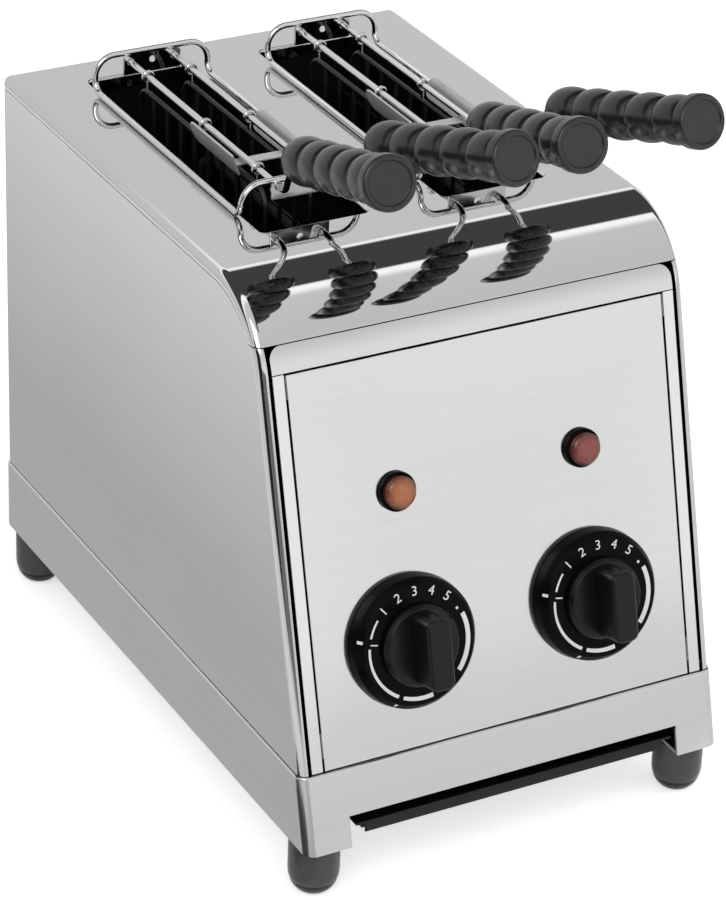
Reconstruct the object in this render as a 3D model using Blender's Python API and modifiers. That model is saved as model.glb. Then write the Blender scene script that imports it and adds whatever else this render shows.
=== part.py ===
"""Two-slot counter toaster with a pair of sandwich tongs.

Run with: blender --background --python part.py
Metres, +X to the right, -Y to the front, +Z up, z = 0 under the feet. The origin is under the
middle of the whole object's bounding box.
"""
import math

import bmesh
import bpy
from mathutils import Matrix, Vector

# Casing
FOOT_HEIGHT = 0.028
FOOT_RADIUS = 0.0120
FOOT_INSET = 0.0120
FOOT_SETBACK = 0.0160
FOOT_SOLE_RADIUS = 0.0045
FOOT_ROUND = 0.0115
BASE_WIDTH = 0.220
BASE_DEPTH = 0.338
BASE_HEIGHT = 0.0365
BASE_CORNER = 0.006
BASE_PROUD = 0.001
BASE_LEDGE = 0.006
FRONT_LEAN = math.radians(15.0)
BODY_HEIGHT = 0.249
BODY_EDGE = 0.0045
TOP_CURVE = 0.047
COVER_FOLD = 0.005
COVER_FRONT_DROP = 0.0216
TRIM_HEIGHT = 0.0118
TRIM_CORNER = 0.006
SHEET = 0.0012
STOUT_SHEET = 0.0015
CORNER_RETURN = 0.0042
CORNER_GAP = 0.0018
STRIP_WIDTH = 0.0056
WEB_WIDTH = 0.012
PANEL_GAP = 0.0004
CLEAR = 0.0003
OVERRUN = 0.010
LONG_REACH = 0.080

# Slots, heat boxes and what is in them
SLOT_PITCH = 0.093
SLOT_WIDTH = 0.054
SLOT_FRONT_INSET = 0.1275
SLOT_REAR_INSET = 0.0235
SLOT_CORNER = 0.0012
SLOT_LIP = 0.006
HEAT_BOX_CORNER = 0.004
HEAT_BOX_WIDTH = 0.072
HEAT_BOX_BOTTOM = 0.024
HEAT_BOX_MARGIN = 0.0065
ELEMENT_RADIUS = 0.0032
ELEMENT_OFFSET = 0.031
ELEMENT_ROWS = 4
ELEMENT_BOTTOM = 0.057
ELEMENT_TOP_DROP = 0.042
ELEMENT_END_ROOM = 0.012
ELEMENT_TAIL = 0.014
GUARD_WIRE = 0.0010
GUARD_OFFSET = 0.0235
GUARD_BOTTOM = 0.034
GUARD_TOP_DROP = 0.021
GUARD_WIRES = 7
GUARD_RAIL_DROP = 0.012
GUARD_RAIL_STEP = 0.0014
TRAY_WIDTH = 0.158
TRAY_HEIGHT = 0.0062
TRAY_FLANGE = 0.005
TRAY_FRONT_INSET = 0.004
TRAY_REAR_INSET = 0.045
TRAY_LIP = 0.004
RUNNER_HEIGHT = 0.0022
RUNNER_WIDTH = 0.008
RUNNER_OFFSET = 0.060
MOUTH_WIDTH = 0.174
MOUTH_HEIGHT = 0.0145

# Controls
DIAL_OFFSET = 0.048
DIAL_HEIGHT = 0.087
DIAL_RADIUS = 0.0315
DIAL_SHOULDER_RADIUS = 0.0307
DIAL_SHOULDER = 0.0056
DIAL_FACE_RADIUS = 0.0282
DIAL_THICKNESS = 0.0085
DIAL_EDGE = 0.0008
KNOB_SKIRT_RADIUS = 0.0192
KNOB_SKIRT_HEIGHT = 0.0135
KNOB_GRIP_LENGTH = 0.034
KNOB_GRIP_WIDTH = 0.013
KNOB_HEIGHT = 0.0300
KNOB_ROUND = 0.0015
SHAFT_RADIUS = 0.0030
SHAFT_CLEAR = 0.0002
SHAFT_BITE = 0.014
TIMER_WIDTH = 0.040
TIMER_HEIGHT = 0.046
TIMER_DEPTH = 0.030
TIMER_BUSH_RADIUS = 0.0050
LAMP_HEIGHT = 0.1543
LAMP_BEZEL_RADIUS = 0.0092
LAMP_BEZEL_HEIGHT = 0.0022
LAMP_LENS_RADIUS = 0.0080
LAMP_LENS_HEIGHT = 0.0074
LAMP_CROWN = 0.0030
LAMP_BARREL_RADIUS = 0.0070
LAMP_BARREL_LENGTH = 0.028
GLAND_RADIUS = 0.0105
GLAND_NECK = 0.0078
GLAND_BORE = 0.0045
GLAND_LENGTH = 0.013
GLAND_NUT = 0.006
GLAND_HEIGHT = 0.062
VENT_COUNT = 7
VENT_PITCH = 0.014
VENT_WIDTH = 0.004
VENT_LENGTH = 0.030
VENT_TOP_DROP = 0.062
BLOCK_SIZE = (0.044, 0.018, 0.022)
BLOCK_SCREW_RADIUS = 0.0025
BLOCK_HEIGHT = 0.027

# Tongs
WIRE_RADIUS = 0.0015
TONG_RAIL_OFFSET = 0.030
TONG_END_ROOM = 0.0155
TONG_ARCH_HEIGHT = 0.0185
TONG_ARCH_ROUND = 0.010
TONG_RAIL_ROUND = 0.006
ROD_RADIUS = 0.0016
ROD_OFFSET = 0.0115
ROD_HEIGHT = 0.0135
ROD_CLEAR = 0.00015
ROD_REAR_OVERHANG = 0.004
ROD_FRONT_OVERHANG = 0.007
ROD_BEND = 0.008
EYELET_RADIUS = 0.0032
BRACKET_SHEET = 0.0015
BRACKET_HOLE = 0.0015
GRIP_START_OFFSET = 0.0198
GRIP_END_OFFSET = 0.0300
GRIP_START_REACH = 0.0366
GRIP_END_REACH = 0.1318
GRIP_START_RISE = 0.043
GRIP_END_RISE = 0.074
GRIP_BULGE = 0.0112
GRIP_VALLEY = 0.0090
GRIP_NOSE = 0.0070
GRIP_BEADS = 5
GRIP_BITE_SHARE = 0.6
CAP_RADIUS = 0.0123
CAP_THICKNESS = 0.0075
CAP_EDGE = 0.0016
JAW_WIRE = 0.00125
JAW_END_ROOM = 0.0275
JAW_DEPTH = 0.118
JAW_UPRIGHTS = 8
JAW_CORNER = 0.008
JAW_DROP = 0.008
HANGER_WIRE = 0.0010
STEM_WIRE = 0.0011
HANGER_SHARES = (0.06, 0.47, 0.94)
SPRING_SHEET = 0.0010
SPRING_HEIGHT = 0.0110
SPRING_SPREAD = 0.0050
SPRING_LEAN = math.radians(20.0)
SPRING_LENGTH = 0.046
SPRING_FRONT = 0.032
SPRING_STRAP = 0.006

# Derived places
REAR_EXTRA = GLAND_LENGTH - BASE_PROUD
KNOB_REACH = (math.cos(FRONT_LEAN) * (KNOB_HEIGHT - KNOB_ROUND) + KNOB_ROUND
              + math.sin(FRONT_LEAN) * (KNOB_GRIP_LENGTH / 2 - KNOB_ROUND)
              - math.tan(FRONT_LEAN) * DIAL_HEIGHT - BASE_PROUD / math.cos(FRONT_LEAN))
Y_FRONT = -(BASE_DEPTH + REAR_EXTRA - KNOB_REACH) / 2
Y_REAR = Y_FRONT + BASE_DEPTH
Z_BASE = FOOT_HEIGHT
Z_BODY = Z_BASE + BASE_HEIGHT
Z_TOP = Z_BASE + BODY_HEIGHT
Z_COVER_FRONT = Z_TOP - COVER_FRONT_DROP
Z_TRIM = Z_COVER_FRONT - TRIM_HEIGHT
BODY_HALF = BASE_WIDTH / 2 - BASE_PROUD
RETURN_HALF = BODY_HALF - CORNER_RETURN
STRIP_HALF = RETURN_HALF - CORNER_GAP
PANEL_HALF = STRIP_HALF - STRIP_WIDTH
BODY_REAR = Y_REAR - BASE_PROUD
SLOT_REAR = Y_REAR - SLOT_REAR_INSET
SLOT_FRONT = Y_FRONT + SLOT_FRONT_INSET
SLOT_LENGTH = SLOT_REAR - SLOT_FRONT
TONG_LENGTH = SLOT_LENGTH - 2 * TONG_END_ROOM
JAW_LENGTH = SLOT_LENGTH - 2 * JAW_END_ROOM
SLOT_MIDDLE = (SLOT_REAR + SLOT_FRONT) / 2
BOX_FRONT = SLOT_FRONT - HEAT_BOX_MARGIN
BOX_REAR = SLOT_REAR + HEAT_BOX_MARGIN
PLATE_TOP = Z_BASE + STOUT_SHEET
TRAY_BOTTOM = PLATE_TOP + RUNNER_HEIGHT + CLEAR
TONG_REAR = SLOT_MIDDLE + TONG_LENGTH / 2
TONG_FRONT = SLOT_MIDDLE - TONG_LENGTH / 2
ROD_LEVEL = Z_TOP + ROD_HEIGHT
Z_HEAT_BOX = Z_BASE + HEAT_BOX_BOTTOM
ELEMENT_LOW = Z_BASE + ELEMENT_BOTTOM
ELEMENT_HIGH = Z_TOP - ELEMENT_TOP_DROP
GUARD_LOW = Z_BASE + GUARD_BOTTOM
GUARD_HIGH = Z_TOP - GUARD_TOP_DROP
Z_GLAND = Z_BASE + GLAND_HEIGHT
Z_BLOCK = Z_BASE + BLOCK_HEIGHT

STEEL = (0.72, 0.72, 0.73)
PARTS = bpy.data.collections.new("toaster_with_sandwich_tongs")
CUTTERS = bpy.data.collections.new("cutters")


def clear_scene():
    """Empties the scene and links the two collections."""
    for thing in list(bpy.data.objects):
        bpy.data.objects.remove(thing, do_unlink=True)
    for collection in (PARTS, CUTTERS):
        bpy.context.scene.collection.children.link(collection)


def material(name, colour, roughness, metallic):
    """A Principled material, made once for each name."""
    found = bpy.data.materials.get(name)
    if found:
        return found
    made = bpy.data.materials.new(name)
    made.use_nodes = True
    shader = made.node_tree.nodes["Principled BSDF"]
    shader.inputs["Base Color"].default_value = (*colour, 1.0)
    shader.inputs["Roughness"].default_value = roughness
    shader.inputs["Metallic"].default_value = metallic
    return made


def place(name, mesh, look=None, matrix=None, smooth=True):
    """Links a mesh as the sub-part called name, or as a cutter when it has no material."""
    thing = bpy.data.objects.new(name, mesh)
    mesh.name = name
    if matrix:
        thing.matrix_world = matrix
    if look:
        mesh.materials.clear()
        mesh.materials.append(look)
        PARTS.objects.link(thing)
    else:
        thing.hide_render = True
        thing.display_type = "WIRE"
        CUTTERS.objects.link(thing)
    if smooth and look:
        mesh.shade_smooth()
        mesh.set_sharp_from_angle(angle=math.radians(35))
    return thing


def boolean(thing, other, operation="DIFFERENCE"):
    """Cuts, joins or intersects thing with other by a Boolean modifier."""
    change = thing.modifiers.new(f"{operation.lower()}_{other.name}", "BOOLEAN")
    change.operation = operation
    change.object = other
    change.solver = "EXACT"
    return thing


def from_curve(curve, weld=0.000005):
    """Turns a curve into a mesh with its caps welded on."""
    holder = bpy.data.objects.new("curve", curve)
    bpy.context.scene.collection.objects.link(holder)
    graph = bpy.context.evaluated_depsgraph_get()
    mesh = bpy.data.meshes.new_from_object(holder.evaluated_get(graph))
    bpy.data.objects.remove(holder, do_unlink=True)
    bpy.data.curves.remove(curve)
    work = bmesh.new()
    work.from_mesh(mesh)
    bmesh.ops.remove_doubles(work, verts=work.verts, dist=weld)
    bmesh.ops.dissolve_limit(work, angle_limit=math.radians(0.5), verts=work.verts, edges=work.edges)
    bmesh.ops.recalc_face_normals(work, faces=work.faces)
    work.to_mesh(mesh)
    work.free()
    return mesh


def plate(loops, thickness):
    """A flat plate from closed outlines, the first outside and the rest holes, centred on z = 0."""
    curve = bpy.data.curves.new("plate", "CURVE")
    curve.dimensions = "2D"
    curve.fill_mode = "BOTH"
    curve.extrude = thickness / 2
    for loop in loops:
        spline = curve.splines.new("POLY")
        spline.points.add(len(loop) - 1)
        for point, (a, b) in zip(spline.points, loop):
            point.co = (a, b, 0, 1)
        spline.use_cyclic_u = True
    return from_curve(curve)


def tube(path, radius, closed=False, resolution=2):
    """A round wire or rod along the path."""
    curve = bpy.data.curves.new("tube", "CURVE")
    curve.dimensions = "3D"
    curve.bevel_depth = radius
    curve.bevel_resolution = resolution
    curve.use_fill_caps = not closed
    curve.twist_mode = "MINIMUM"
    spline = curve.splines.new("POLY")
    spline.points.add(len(path) - 1)
    for point, place_at in zip(spline.points, path):
        point.co = (*place_at, 1)
    spline.use_cyclic_u = closed
    return from_curve(curve)


def rounded_path(corners, radius, segments=4, closed=False):
    """The corner points with each bend turned into an arc; one radius, or one for each corner."""
    points = []
    corners = [Vector(corner) for corner in corners]
    count = len(corners)
    radii = radius if isinstance(radius, list) else [radius] * count
    for index, (corner, radius) in enumerate(zip(corners, radii)):
        if not closed and index in (0, count - 1):
            points.append(corner)
            continue
        before = (corners[index - 1] - corner).normalized()
        after = (corners[(index + 1) % count] - corner).normalized()
        half = before.angle(after) / 2
        reach = radius / math.tan(half)
        middle = corner + (before + after).normalized() * radius / math.sin(half)
        start = corner + before * reach - middle
        end = corner + after * reach - middle
        sweep = start.angle(end)
        for step in range(segments + 1):
            share = step / segments
            points.append(middle + (start * math.sin((1 - share) * sweep)
                                    + end * math.sin(share * sweep)) / math.sin(sweep))
    return points


def rounded_rectangle(half_a, half_b, radius, segments=4, middle=(0, 0)):
    """A rectangle's outline with round corners, anticlockwise."""
    loop = []
    for turn, (sign_a, sign_b) in enumerate(((1, 1), (-1, 1), (-1, -1), (1, -1))):
        for step in range(segments + 1):
            angle = math.pi / 2 * (turn + step / segments)
            loop.append((middle[0] + sign_a * (half_a - radius) + radius * math.cos(angle),
                         middle[1] + sign_b * (half_b - radius) + radius * math.sin(angle)))
    return loop


def circle(radius, sides, middle=(0, 0)):
    """A circle's outline."""
    return [(middle[0] + radius * math.cos(2 * math.pi * step / sides),
             middle[1] + radius * math.sin(2 * math.pi * step / sides)) for step in range(sides)]


def box(low, high):
    """A box between two corners."""
    mesh = bpy.data.meshes.new("box")
    work = bmesh.new()
    bmesh.ops.create_cube(work, size=1)
    size = [b - a for a, b in zip(low, high)]
    middle = [(a + b) / 2 for a, b in zip(low, high)]
    bmesh.ops.transform(work, matrix=Matrix.Translation(middle) @ Matrix.Diagonal((*size, 1)),
                        verts=work.verts)
    work.to_mesh(mesh)
    work.free()
    return mesh


def round_edges(mesh, width, segments, wanted):
    """Bevels the mesh's edges for which wanted(edge) is true."""
    work = bmesh.new()
    work.from_mesh(mesh)
    chosen = [edge for edge in work.edges
              if edge.calc_face_angle(0) > math.radians(30) and wanted(edge)]
    bmesh.ops.bevel(work, geom=chosen, offset=width, segments=segments, profile=0.5,
                    affect="EDGES", clamp_overlap=True)
    work.to_mesh(mesh)
    work.free()
    return mesh


def turned(name, profile, look, matrix=None, steps=24):
    """A solid of revolution about its own Z, from a profile that runs down its outer side."""
    mesh = bpy.data.meshes.new(name)
    work = bmesh.new()
    verts = [work.verts.new((radius, 0, height)) for radius, height in profile]
    for first, second in zip(verts, verts[1:]):
        work.edges.new((first, second))
    work.to_mesh(mesh)
    work.free()
    thing = place(name, mesh, look, matrix, smooth=False)
    screw = thing.modifiers.new("turn", "SCREW")
    screw.axis = "Z"
    screw.steps = steps
    screw.render_steps = steps
    screw.use_merge_vertices = True
    screw.merge_threshold = 0.00001
    screw.use_smooth_shade = True
    return thing


def along(middle, direction, up=(0, 0, 1)):
    """A frame at middle whose Z points along the direction."""
    z_axis = Vector(direction).normalized()
    x_axis = Vector(up).cross(z_axis).normalized()
    y_axis = z_axis.cross(x_axis)
    frame = Matrix((x_axis, y_axis, z_axis)).transposed().to_4x4()
    frame.translation = Vector(middle)
    return frame


# Side outlines are drawn in (y, z) and pushed out along x.
SIDE_PLANE = Matrix(((0, 0, 1, 0), (1, 0, 0, 0), (0, 1, 0, 0), (0, 0, 0, 1)))


def front_y(height, inset=0.0):
    """Y of the leaning front plane at a height, moved inwards by the inset."""
    return Y_FRONT + math.tan(FRONT_LEAN) * (height - Z_BASE) + inset / math.cos(FRONT_LEAN)


def front_frame_at(x, height, out=0.0):
    """A frame on the body's front: X to the right, Y up the slope, Z out of the face."""
    lean = Matrix.Rotation(math.pi / 2 - FRONT_LEAN, 4, "X")
    middle = Vector((x, front_y(height, BASE_PROUD), height))
    return Matrix.Translation(middle) @ lean @ Matrix.Translation((0, 0, out))


def slope(height):
    """Distance up the front's slope from the body's foot to a height."""
    return (height - Z_BODY) / math.cos(FRONT_LEAN)


def curve_points(inset, segments=12):
    """The big arc from the flat top to the leaning front, as (y, z), at an inset."""
    centre_z = Z_TOP - TOP_CURVE
    centre_y = front_y(centre_z, BASE_PROUD + TOP_CURVE)
    radius = TOP_CURVE - inset
    sweep = math.pi / 2 - FRONT_LEAN
    return [(centre_y - radius * math.sin(sweep * step / segments),
             centre_z + radius * math.cos(sweep * step / segments)) for step in range(segments + 1)]


def body_outline(inset, bottom):
    """The body's side outline at an inset, from the rear foot over the top to the front foot."""
    return ([(BODY_REAR - inset, bottom), (BODY_REAR - inset, Z_TOP - inset)] + curve_points(inset)
            + [(front_y(bottom, BASE_PROUD + inset), bottom)])


def side_edge(half, bottom):
    """Picks the edges of a side face at +half or -half, but not those along its bottom."""
    def wanted(edge):
        first, second = (vert.co for vert in edge.verts)
        at_side = abs(abs(first.z) - half) < CLEAR and abs(first.z - second.z) < CLEAR
        return at_side and max(first.y, second.y) > bottom + CLEAR / 2
    return wanted


def body_prism(name, inset, bottom, edge, look=None):
    """The whole body as a solid with rounded side edges, at an inset from its skin."""
    half = BODY_HALF - inset
    mesh = plate([body_outline(inset, bottom)], 2 * half)
    round_edges(mesh, edge, 3, side_edge(half, bottom))
    return place(name, mesh, look, SIDE_PLANE)


def shell(name, look):
    """The casing's skin as one thin shell, which each casing piece is then cut from."""
    skin = body_prism(name, 0.0, Z_BODY + CLEAR, BODY_EDGE, look)
    hollow = body_prism(f"{name}_hollow", SHEET, Z_BODY - OVERRUN, BODY_EDGE - SHEET)
    return boolean(skin, hollow)


def side_cutter(name, outline):
    """A cutter with a side outline that reaches past both sides of the body."""
    return place(name, plate([outline], BASE_WIDTH + 2 * OVERRUN), matrix=SIDE_PLANE)


def wall_at(y):
    """A frame for an upright plate across the body: X to the right, Y up, at the given y."""
    return Matrix.Translation((0, y, 0)) @ Matrix.Rotation(math.pi / 2, 4, "X")


def skin_point(height, inset):
    """The point of the front skin at a height: on the big arc, or on the plane below it."""
    centre_z = Z_TOP - TOP_CURVE
    centre_y = front_y(centre_z, BASE_PROUD + TOP_CURVE)
    radius = TOP_CURVE - inset
    if height - centre_z < radius * math.sin(FRONT_LEAN):
        return (front_y(height, BASE_PROUD + inset), height)
    return (centre_y - math.sqrt(radius ** 2 - (height - centre_z) ** 2), height)


def arc_between(inset, high, low, segments=3):
    """Points of the front skin from one height down to another."""
    return [skin_point(high + (low - high) * step / segments, inset) for step in range(segments + 1)]


def under_cover(inset):
    """Side outline of all that lies under the top cover's fold, at an inset below the skin."""
    far_front = front_y(Z_BASE) - 2 * OVERRUN
    cover_foot = Z_COVER_FRONT - (inset - COVER_FOLD)
    arc = [point for point in curve_points(inset) if point[1] > cover_foot + SHEET]
    top = [(BODY_REAR + OVERRUN, Z_TOP - inset)] + arc + [skin_point(cover_foot, inset)]
    return top + [(far_front, cover_foot), (far_front, Z_BASE), (BODY_REAR + OVERRUN, Z_BASE)]


def build_base(steel, rubber):
    """The base skirt, the bottom plate and the four rubber feet."""
    top = Z_BODY
    outline = [(Y_REAR, Z_BASE), (Y_REAR, top), (front_y(top), top), (front_y(Z_BASE), Z_BASE)]
    mesh = plate([outline], BASE_WIDTH)

    def upright(edge):
        first, second = (vert.co for vert in edge.verts)
        return abs(first.z - second.z) < CLEAR and abs(first.y - second.y) > SHEET
    round_edges(mesh, BASE_CORNER, 4, upright)
    band = place("base_band", mesh, steel, SIDE_PLANE)

    def hollow(name, inset, low, high):
        loop = [(Y_REAR - inset, low), (Y_REAR - inset, high),
                (front_y(high, inset), high), (front_y(low, inset), low)]
        cutter = plate([loop], BASE_WIDTH - 2 * inset)
        round_edges(cutter, max(BASE_CORNER - inset, SHEET), 3, upright)
        boolean(band, place(name, cutter, matrix=SIDE_PLANE))
    hollow("base_inside", SHEET, Z_BASE - OVERRUN, top - SHEET)
    hollow("base_mouth_top", BASE_LEDGE, Z_BASE - OVERRUN, top + OVERRUN)
    half = MOUTH_WIDTH / 2
    boolean(band, place("tray_mouth", box((-half, Y_FRONT - OVERRUN, Z_BASE - OVERRUN),
                                          (half, Y_FRONT + 2 * OVERRUN, Z_BASE + MOUTH_HEIGHT))))

    inside = BASE_WIDTH / 2 - SHEET - CLEAR
    rear = Y_REAR - SHEET - CLEAR
    front = front_y(PLATE_TOP, SHEET) + CLEAR
    notch = front + 2 * OVERRUN
    corner = BASE_CORNER
    outer = [(inside, rear - corner), (inside - corner, rear), (corner - inside, rear),
             (-inside, rear - corner), (-inside, front + corner), (corner - inside, front),
             (-half, front), (-half, notch), (half, notch), (half, front),
             (inside - corner, front), (inside, front + corner)]
    floor = place("bottom_plate", plate([outer], STOUT_SHEET), steel,
                  Matrix.Translation((0, 0, Z_BASE + STOUT_SHEET / 2)))
    for side in (-1, 1):
        middle = side * RUNNER_OFFSET
        rib = box((middle - RUNNER_WIDTH / 2, notch + OVERRUN, PLATE_TOP - SHEET),
                  (middle + RUNNER_WIDTH / 2, rear - TRAY_REAR_INSET, PLATE_TOP + RUNNER_HEIGHT))
        boolean(floor, place(f"runner_{side}", rib), "UNION")

    foot_x = BASE_WIDTH / 2 - FOOT_INSET
    turns = 4
    ends = (("front", Y_FRONT + FOOT_SETBACK), ("rear", Y_REAR - FOOT_SETBACK))
    foot = [(0, FOOT_HEIGHT - CLEAR), (FOOT_RADIUS, FOOT_HEIGHT - CLEAR)]
    for step in range(turns + 1):
        angle = math.pi / 2 * step / turns
        foot.append((FOOT_SOLE_RADIUS + (FOOT_RADIUS - FOOT_SOLE_RADIUS) * math.cos(angle),
                     FOOT_ROUND * (1 - math.sin(angle))))
    foot.append((0, 0))
    for end, y in ends:
        for side, x in (("left", -foot_x), ("right", foot_x)):
            turned(f"foot_{end}_{side}", foot, rubber, Matrix.Translation((x, y, 0)), steps=16)


def build_casing(mirror, satin, grey):
    """Top cover, side panels, rear panel, front frame, front trim and front panel."""
    cover = shell("top_cover", mirror)
    boolean(cover, side_cutter("under_cover", under_cover(COVER_FOLD)))
    for side in (-1, 1):
        middle = Matrix.Translation((side * SLOT_PITCH / 2, SLOT_MIDDLE, Z_TOP - SLOT_LIP / 2))
        lip = rounded_rectangle(SLOT_WIDTH / 2 + SHEET, SLOT_LENGTH / 2 + SHEET, SLOT_CORNER + SHEET)
        lip_middle = Matrix.Translation((0, 0, -SHEET / 2)) @ middle
        boolean(cover, place(f"slot_lip_{side}", plate([lip], SLOT_LIP), matrix=lip_middle), "UNION")
        slot = rounded_rectangle(SLOT_WIDTH / 2, SLOT_LENGTH / 2, SLOT_CORNER)
        boolean(cover, place(f"slot_{side}", plate([slot], SLOT_LIP + 2 * OVERRUN), matrix=middle))

    far = BASE_WIDTH
    for name, side in (("left_side_panel", -1), ("right_side_panel", 1)):
        panel = shell(name, satin)
        near = min(-side * far, side * RETURN_HALF), max(-side * far, side * RETURN_HALF)
        boolean(panel, place(f"{name}_keep", box((near[0], Y_FRONT - far, Z_BASE - OVERRUN),
                                                 (near[1], Y_REAR + far, Z_TOP + OVERRUN))))
        boolean(panel, side_cutter(f"{name}_top", under_cover(COVER_FOLD + PANEL_GAP)), "INTERSECT")

    half = RETURN_HALF - PANEL_GAP
    low, high = Z_BODY + CLEAR, Z_TOP - COVER_FOLD - PANEL_GAP
    loops = [[(-half, low), (half, low), (half, high), (-half, high)],
             circle(GLAND_NECK + CLEAR, 24, (0, Z_GLAND))]
    for index in range(VENT_COUNT):
        middle = ((index - (VENT_COUNT - 1) / 2) * VENT_PITCH, Z_TOP - VENT_TOP_DROP)
        loops.append(rounded_rectangle(VENT_WIDTH / 2, VENT_LENGTH / 2, VENT_WIDTH / 2 - CLEAR,
                                       2, middle))
    place("rear_panel", plate(loops, SHEET), satin, wall_at(BODY_REAR - SHEET / 2))

    build_front(mirror, satin, grey)


def build_front(mirror, satin, grey):
    """The frame, the trim band under the cover and the panel that carries the controls."""
    top = slope(Z_TRIM) - PANEL_GAP
    foot = 2 * CLEAR
    web_foot = BASE_LEDGE
    behind = -SHEET - CLEAR
    web = WEB_WIDTH
    frame = place("front_frame", box((-STRIP_HALF, web_foot, behind - SHEET),
                                     (STRIP_HALF, web_foot + web, behind)), grey,
                  front_frame_at(0, Z_BODY))
    pieces = [("upper_rail", (-STRIP_HALF, top - web, behind - SHEET), (STRIP_HALF, top - SHEET, behind))]
    for side in (-1, 1):
        inner, outer = side * PANEL_HALF, side * STRIP_HALF
        fold = side * (STRIP_HALF - SHEET)
        pieces.append((f"strip_{side}", (min(inner, outer), foot, -SHEET), (max(inner, outer), top, 0)))
        pieces.append((f"web_{side}", (min(fold, outer), web_foot, -web),
                       (max(fold, outer), top - SHEET, -SHEET / 2)))
    for name, lower, upper in pieces:
        boolean(frame, place(name, box(lower, upper), matrix=front_frame_at(0, Z_BODY)), "UNION")

    skin = arc_between(0, Z_COVER_FRONT - PANEL_GAP, Z_TRIM)
    inside = arc_between(SHEET, Z_COVER_FRONT - PANEL_GAP, Z_TRIM)
    trim = place("front_trim", plate([skin + inside[::-1]], 2 * STRIP_HALF), mirror, SIDE_PLANE)
    reach = slope(Z_COVER_FRONT) + SHEET / 2
    corner = rounded_rectangle(STRIP_HALF + CLEAR, reach, TRIM_CORNER, 4)
    boolean(trim, place("trim_corners", plate([corner], LONG_REACH),
                        matrix=front_frame_at(0, Z_BODY)), "INTERSECT")

    edge = PANEL_HALF - PANEL_GAP
    loops = [[(-edge, foot), (edge, foot), (edge, top), (-edge, top)]]
    for side in (-1, 1):
        across = side * DIAL_OFFSET
        loops.append(circle(TIMER_BUSH_RADIUS + CLEAR, 20, (across, slope(Z_BASE + DIAL_HEIGHT))))
        loops.append(circle(LAMP_BARREL_RADIUS + CLEAR, 24, (across, slope(Z_BASE + LAMP_HEIGHT))))
    place("front_panel", plate(loops, SHEET), satin, front_frame_at(0, Z_BODY, -SHEET / 2))


def build_inside(steel, hot, dark, ceramic):
    """Bulkheads, heat boxes, heating elements, wire guards, crumb tray and terminal block."""
    half = BASE_WIDTH / 2 - BASE_LEDGE - CLEAR
    low, high = PLATE_TOP + CLEAR, Z_TOP - SHEET - CLEAR
    door = TRAY_WIDTH / 2 + TRAY_FLANGE + 2 * SHEET
    door_top = Z_BASE + MOUTH_HEIGHT
    rows = [ELEMENT_LOW, ELEMENT_HIGH]
    ends = [(slot * SLOT_PITCH / 2 + side * ELEMENT_OFFSET, row)
            for slot in (-1, 1) for side in (-1, 1) for row in rows]
    holes = [circle(ELEMENT_RADIUS + 2 * CLEAR, 8, end) for end in ends]
    front_loop = [(-half, low), (-door, low), (-door, door_top), (door, door_top), (door, low),
                  (half, low), (half, high), (-half, high)]
    place("front_bulkhead", plate([front_loop] + holes, SHEET), steel,
          wall_at(BOX_FRONT - CLEAR - SHEET / 2))
    rear_loop = [(-half, low), (half, low), (half, high), (-half, high)]
    place("rear_bulkhead", plate([rear_loop], SHEET), steel, wall_at(BOX_REAR + CLEAR + SHEET / 2))

    box_length = (BOX_REAR - BOX_FRONT) / 2
    for slot_name, slot in (("left", -1), ("right", 1)):
        middle = slot * SLOT_PITCH / 2
        loops = [rounded_rectangle(HEAT_BOX_WIDTH / 2 - inset, box_length - inset,
                                   HEAT_BOX_CORNER - inset, 2) for inset in (0, SHEET)]
        heat_box = place(f"{slot_name}_heat_box", plate(loops, high - Z_HEAT_BOX), steel,
                         Matrix.Translation((middle, SLOT_MIDDLE, (high + Z_HEAT_BOX) / 2)))
        for end_x, end_z in ends:
            if slot * end_x > 0:
                bore = plate([circle(ELEMENT_RADIUS + 2 * CLEAR, 8, (end_x, end_z))], 4 * SHEET)
                hole_name = f"lead_hole_{ends.index((end_x, end_z))}"
                boolean(heat_box, place(hole_name, bore, matrix=wall_at(BOX_FRONT)))
        for side_name, side in (("left", -1), ("right", 1)):
            build_element(f"{slot_name}_slot_{side_name}_element", middle + side * ELEMENT_OFFSET, hot)
            build_guard(f"{slot_name}_slot_{side_name}_guard", middle, side, dark)

    build_tray(dark)
    size_x, size_y, size_z = BLOCK_SIZE
    back = BOX_FRONT - SHEET - 2 * CLEAR
    block = place("terminal_block", box((-size_x / 2, back - size_y, Z_BLOCK),
                                        (size_x / 2, back, Z_BLOCK + size_z)), ceramic)
    for index in (-1, 0, 1):
        hole = plate([circle(BLOCK_SCREW_RADIUS, 10)], size_z)
        well = Matrix.Translation((index * size_x / 3, back - size_y / 2, Z_BLOCK + size_z))
        boolean(block, place(f"block_hole_{index}", hole, matrix=well))


def build_element(name, across, hot):
    """A tubular heating element: level runs joined by bends, with both ends to the front."""
    front, rear = BOX_FRONT + ELEMENT_END_ROOM, BOX_REAR - ELEMENT_END_ROOM
    pitch = (ELEMENT_HIGH - ELEMENT_LOW) / (ELEMENT_ROWS - 1)
    corners = [(across, BOX_FRONT - ELEMENT_TAIL, ELEMENT_LOW)]
    for row in range(ELEMENT_ROWS - 1):
        turn = rear if row % 2 == 0 else front
        height = ELEMENT_LOW + row * pitch
        corners += [(across, turn, height), (across, turn, height + pitch)]
    corners.append((across, BOX_FRONT - ELEMENT_TAIL, ELEMENT_HIGH))
    bend = pitch / 2 - CLEAR
    place(name, tube(rounded_path(corners, bend, 2), ELEMENT_RADIUS, resolution=1), hot)


def wires(name, paths, radius):
    """Several straight wires of one radius as one mesh."""
    bundle = bmesh.new()
    for path in paths:
        bundle.from_mesh(tube(path, radius, resolution=0))
    mesh = bpy.data.meshes.new(name)
    bundle.to_mesh(mesh)
    bundle.free()
    return mesh


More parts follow.
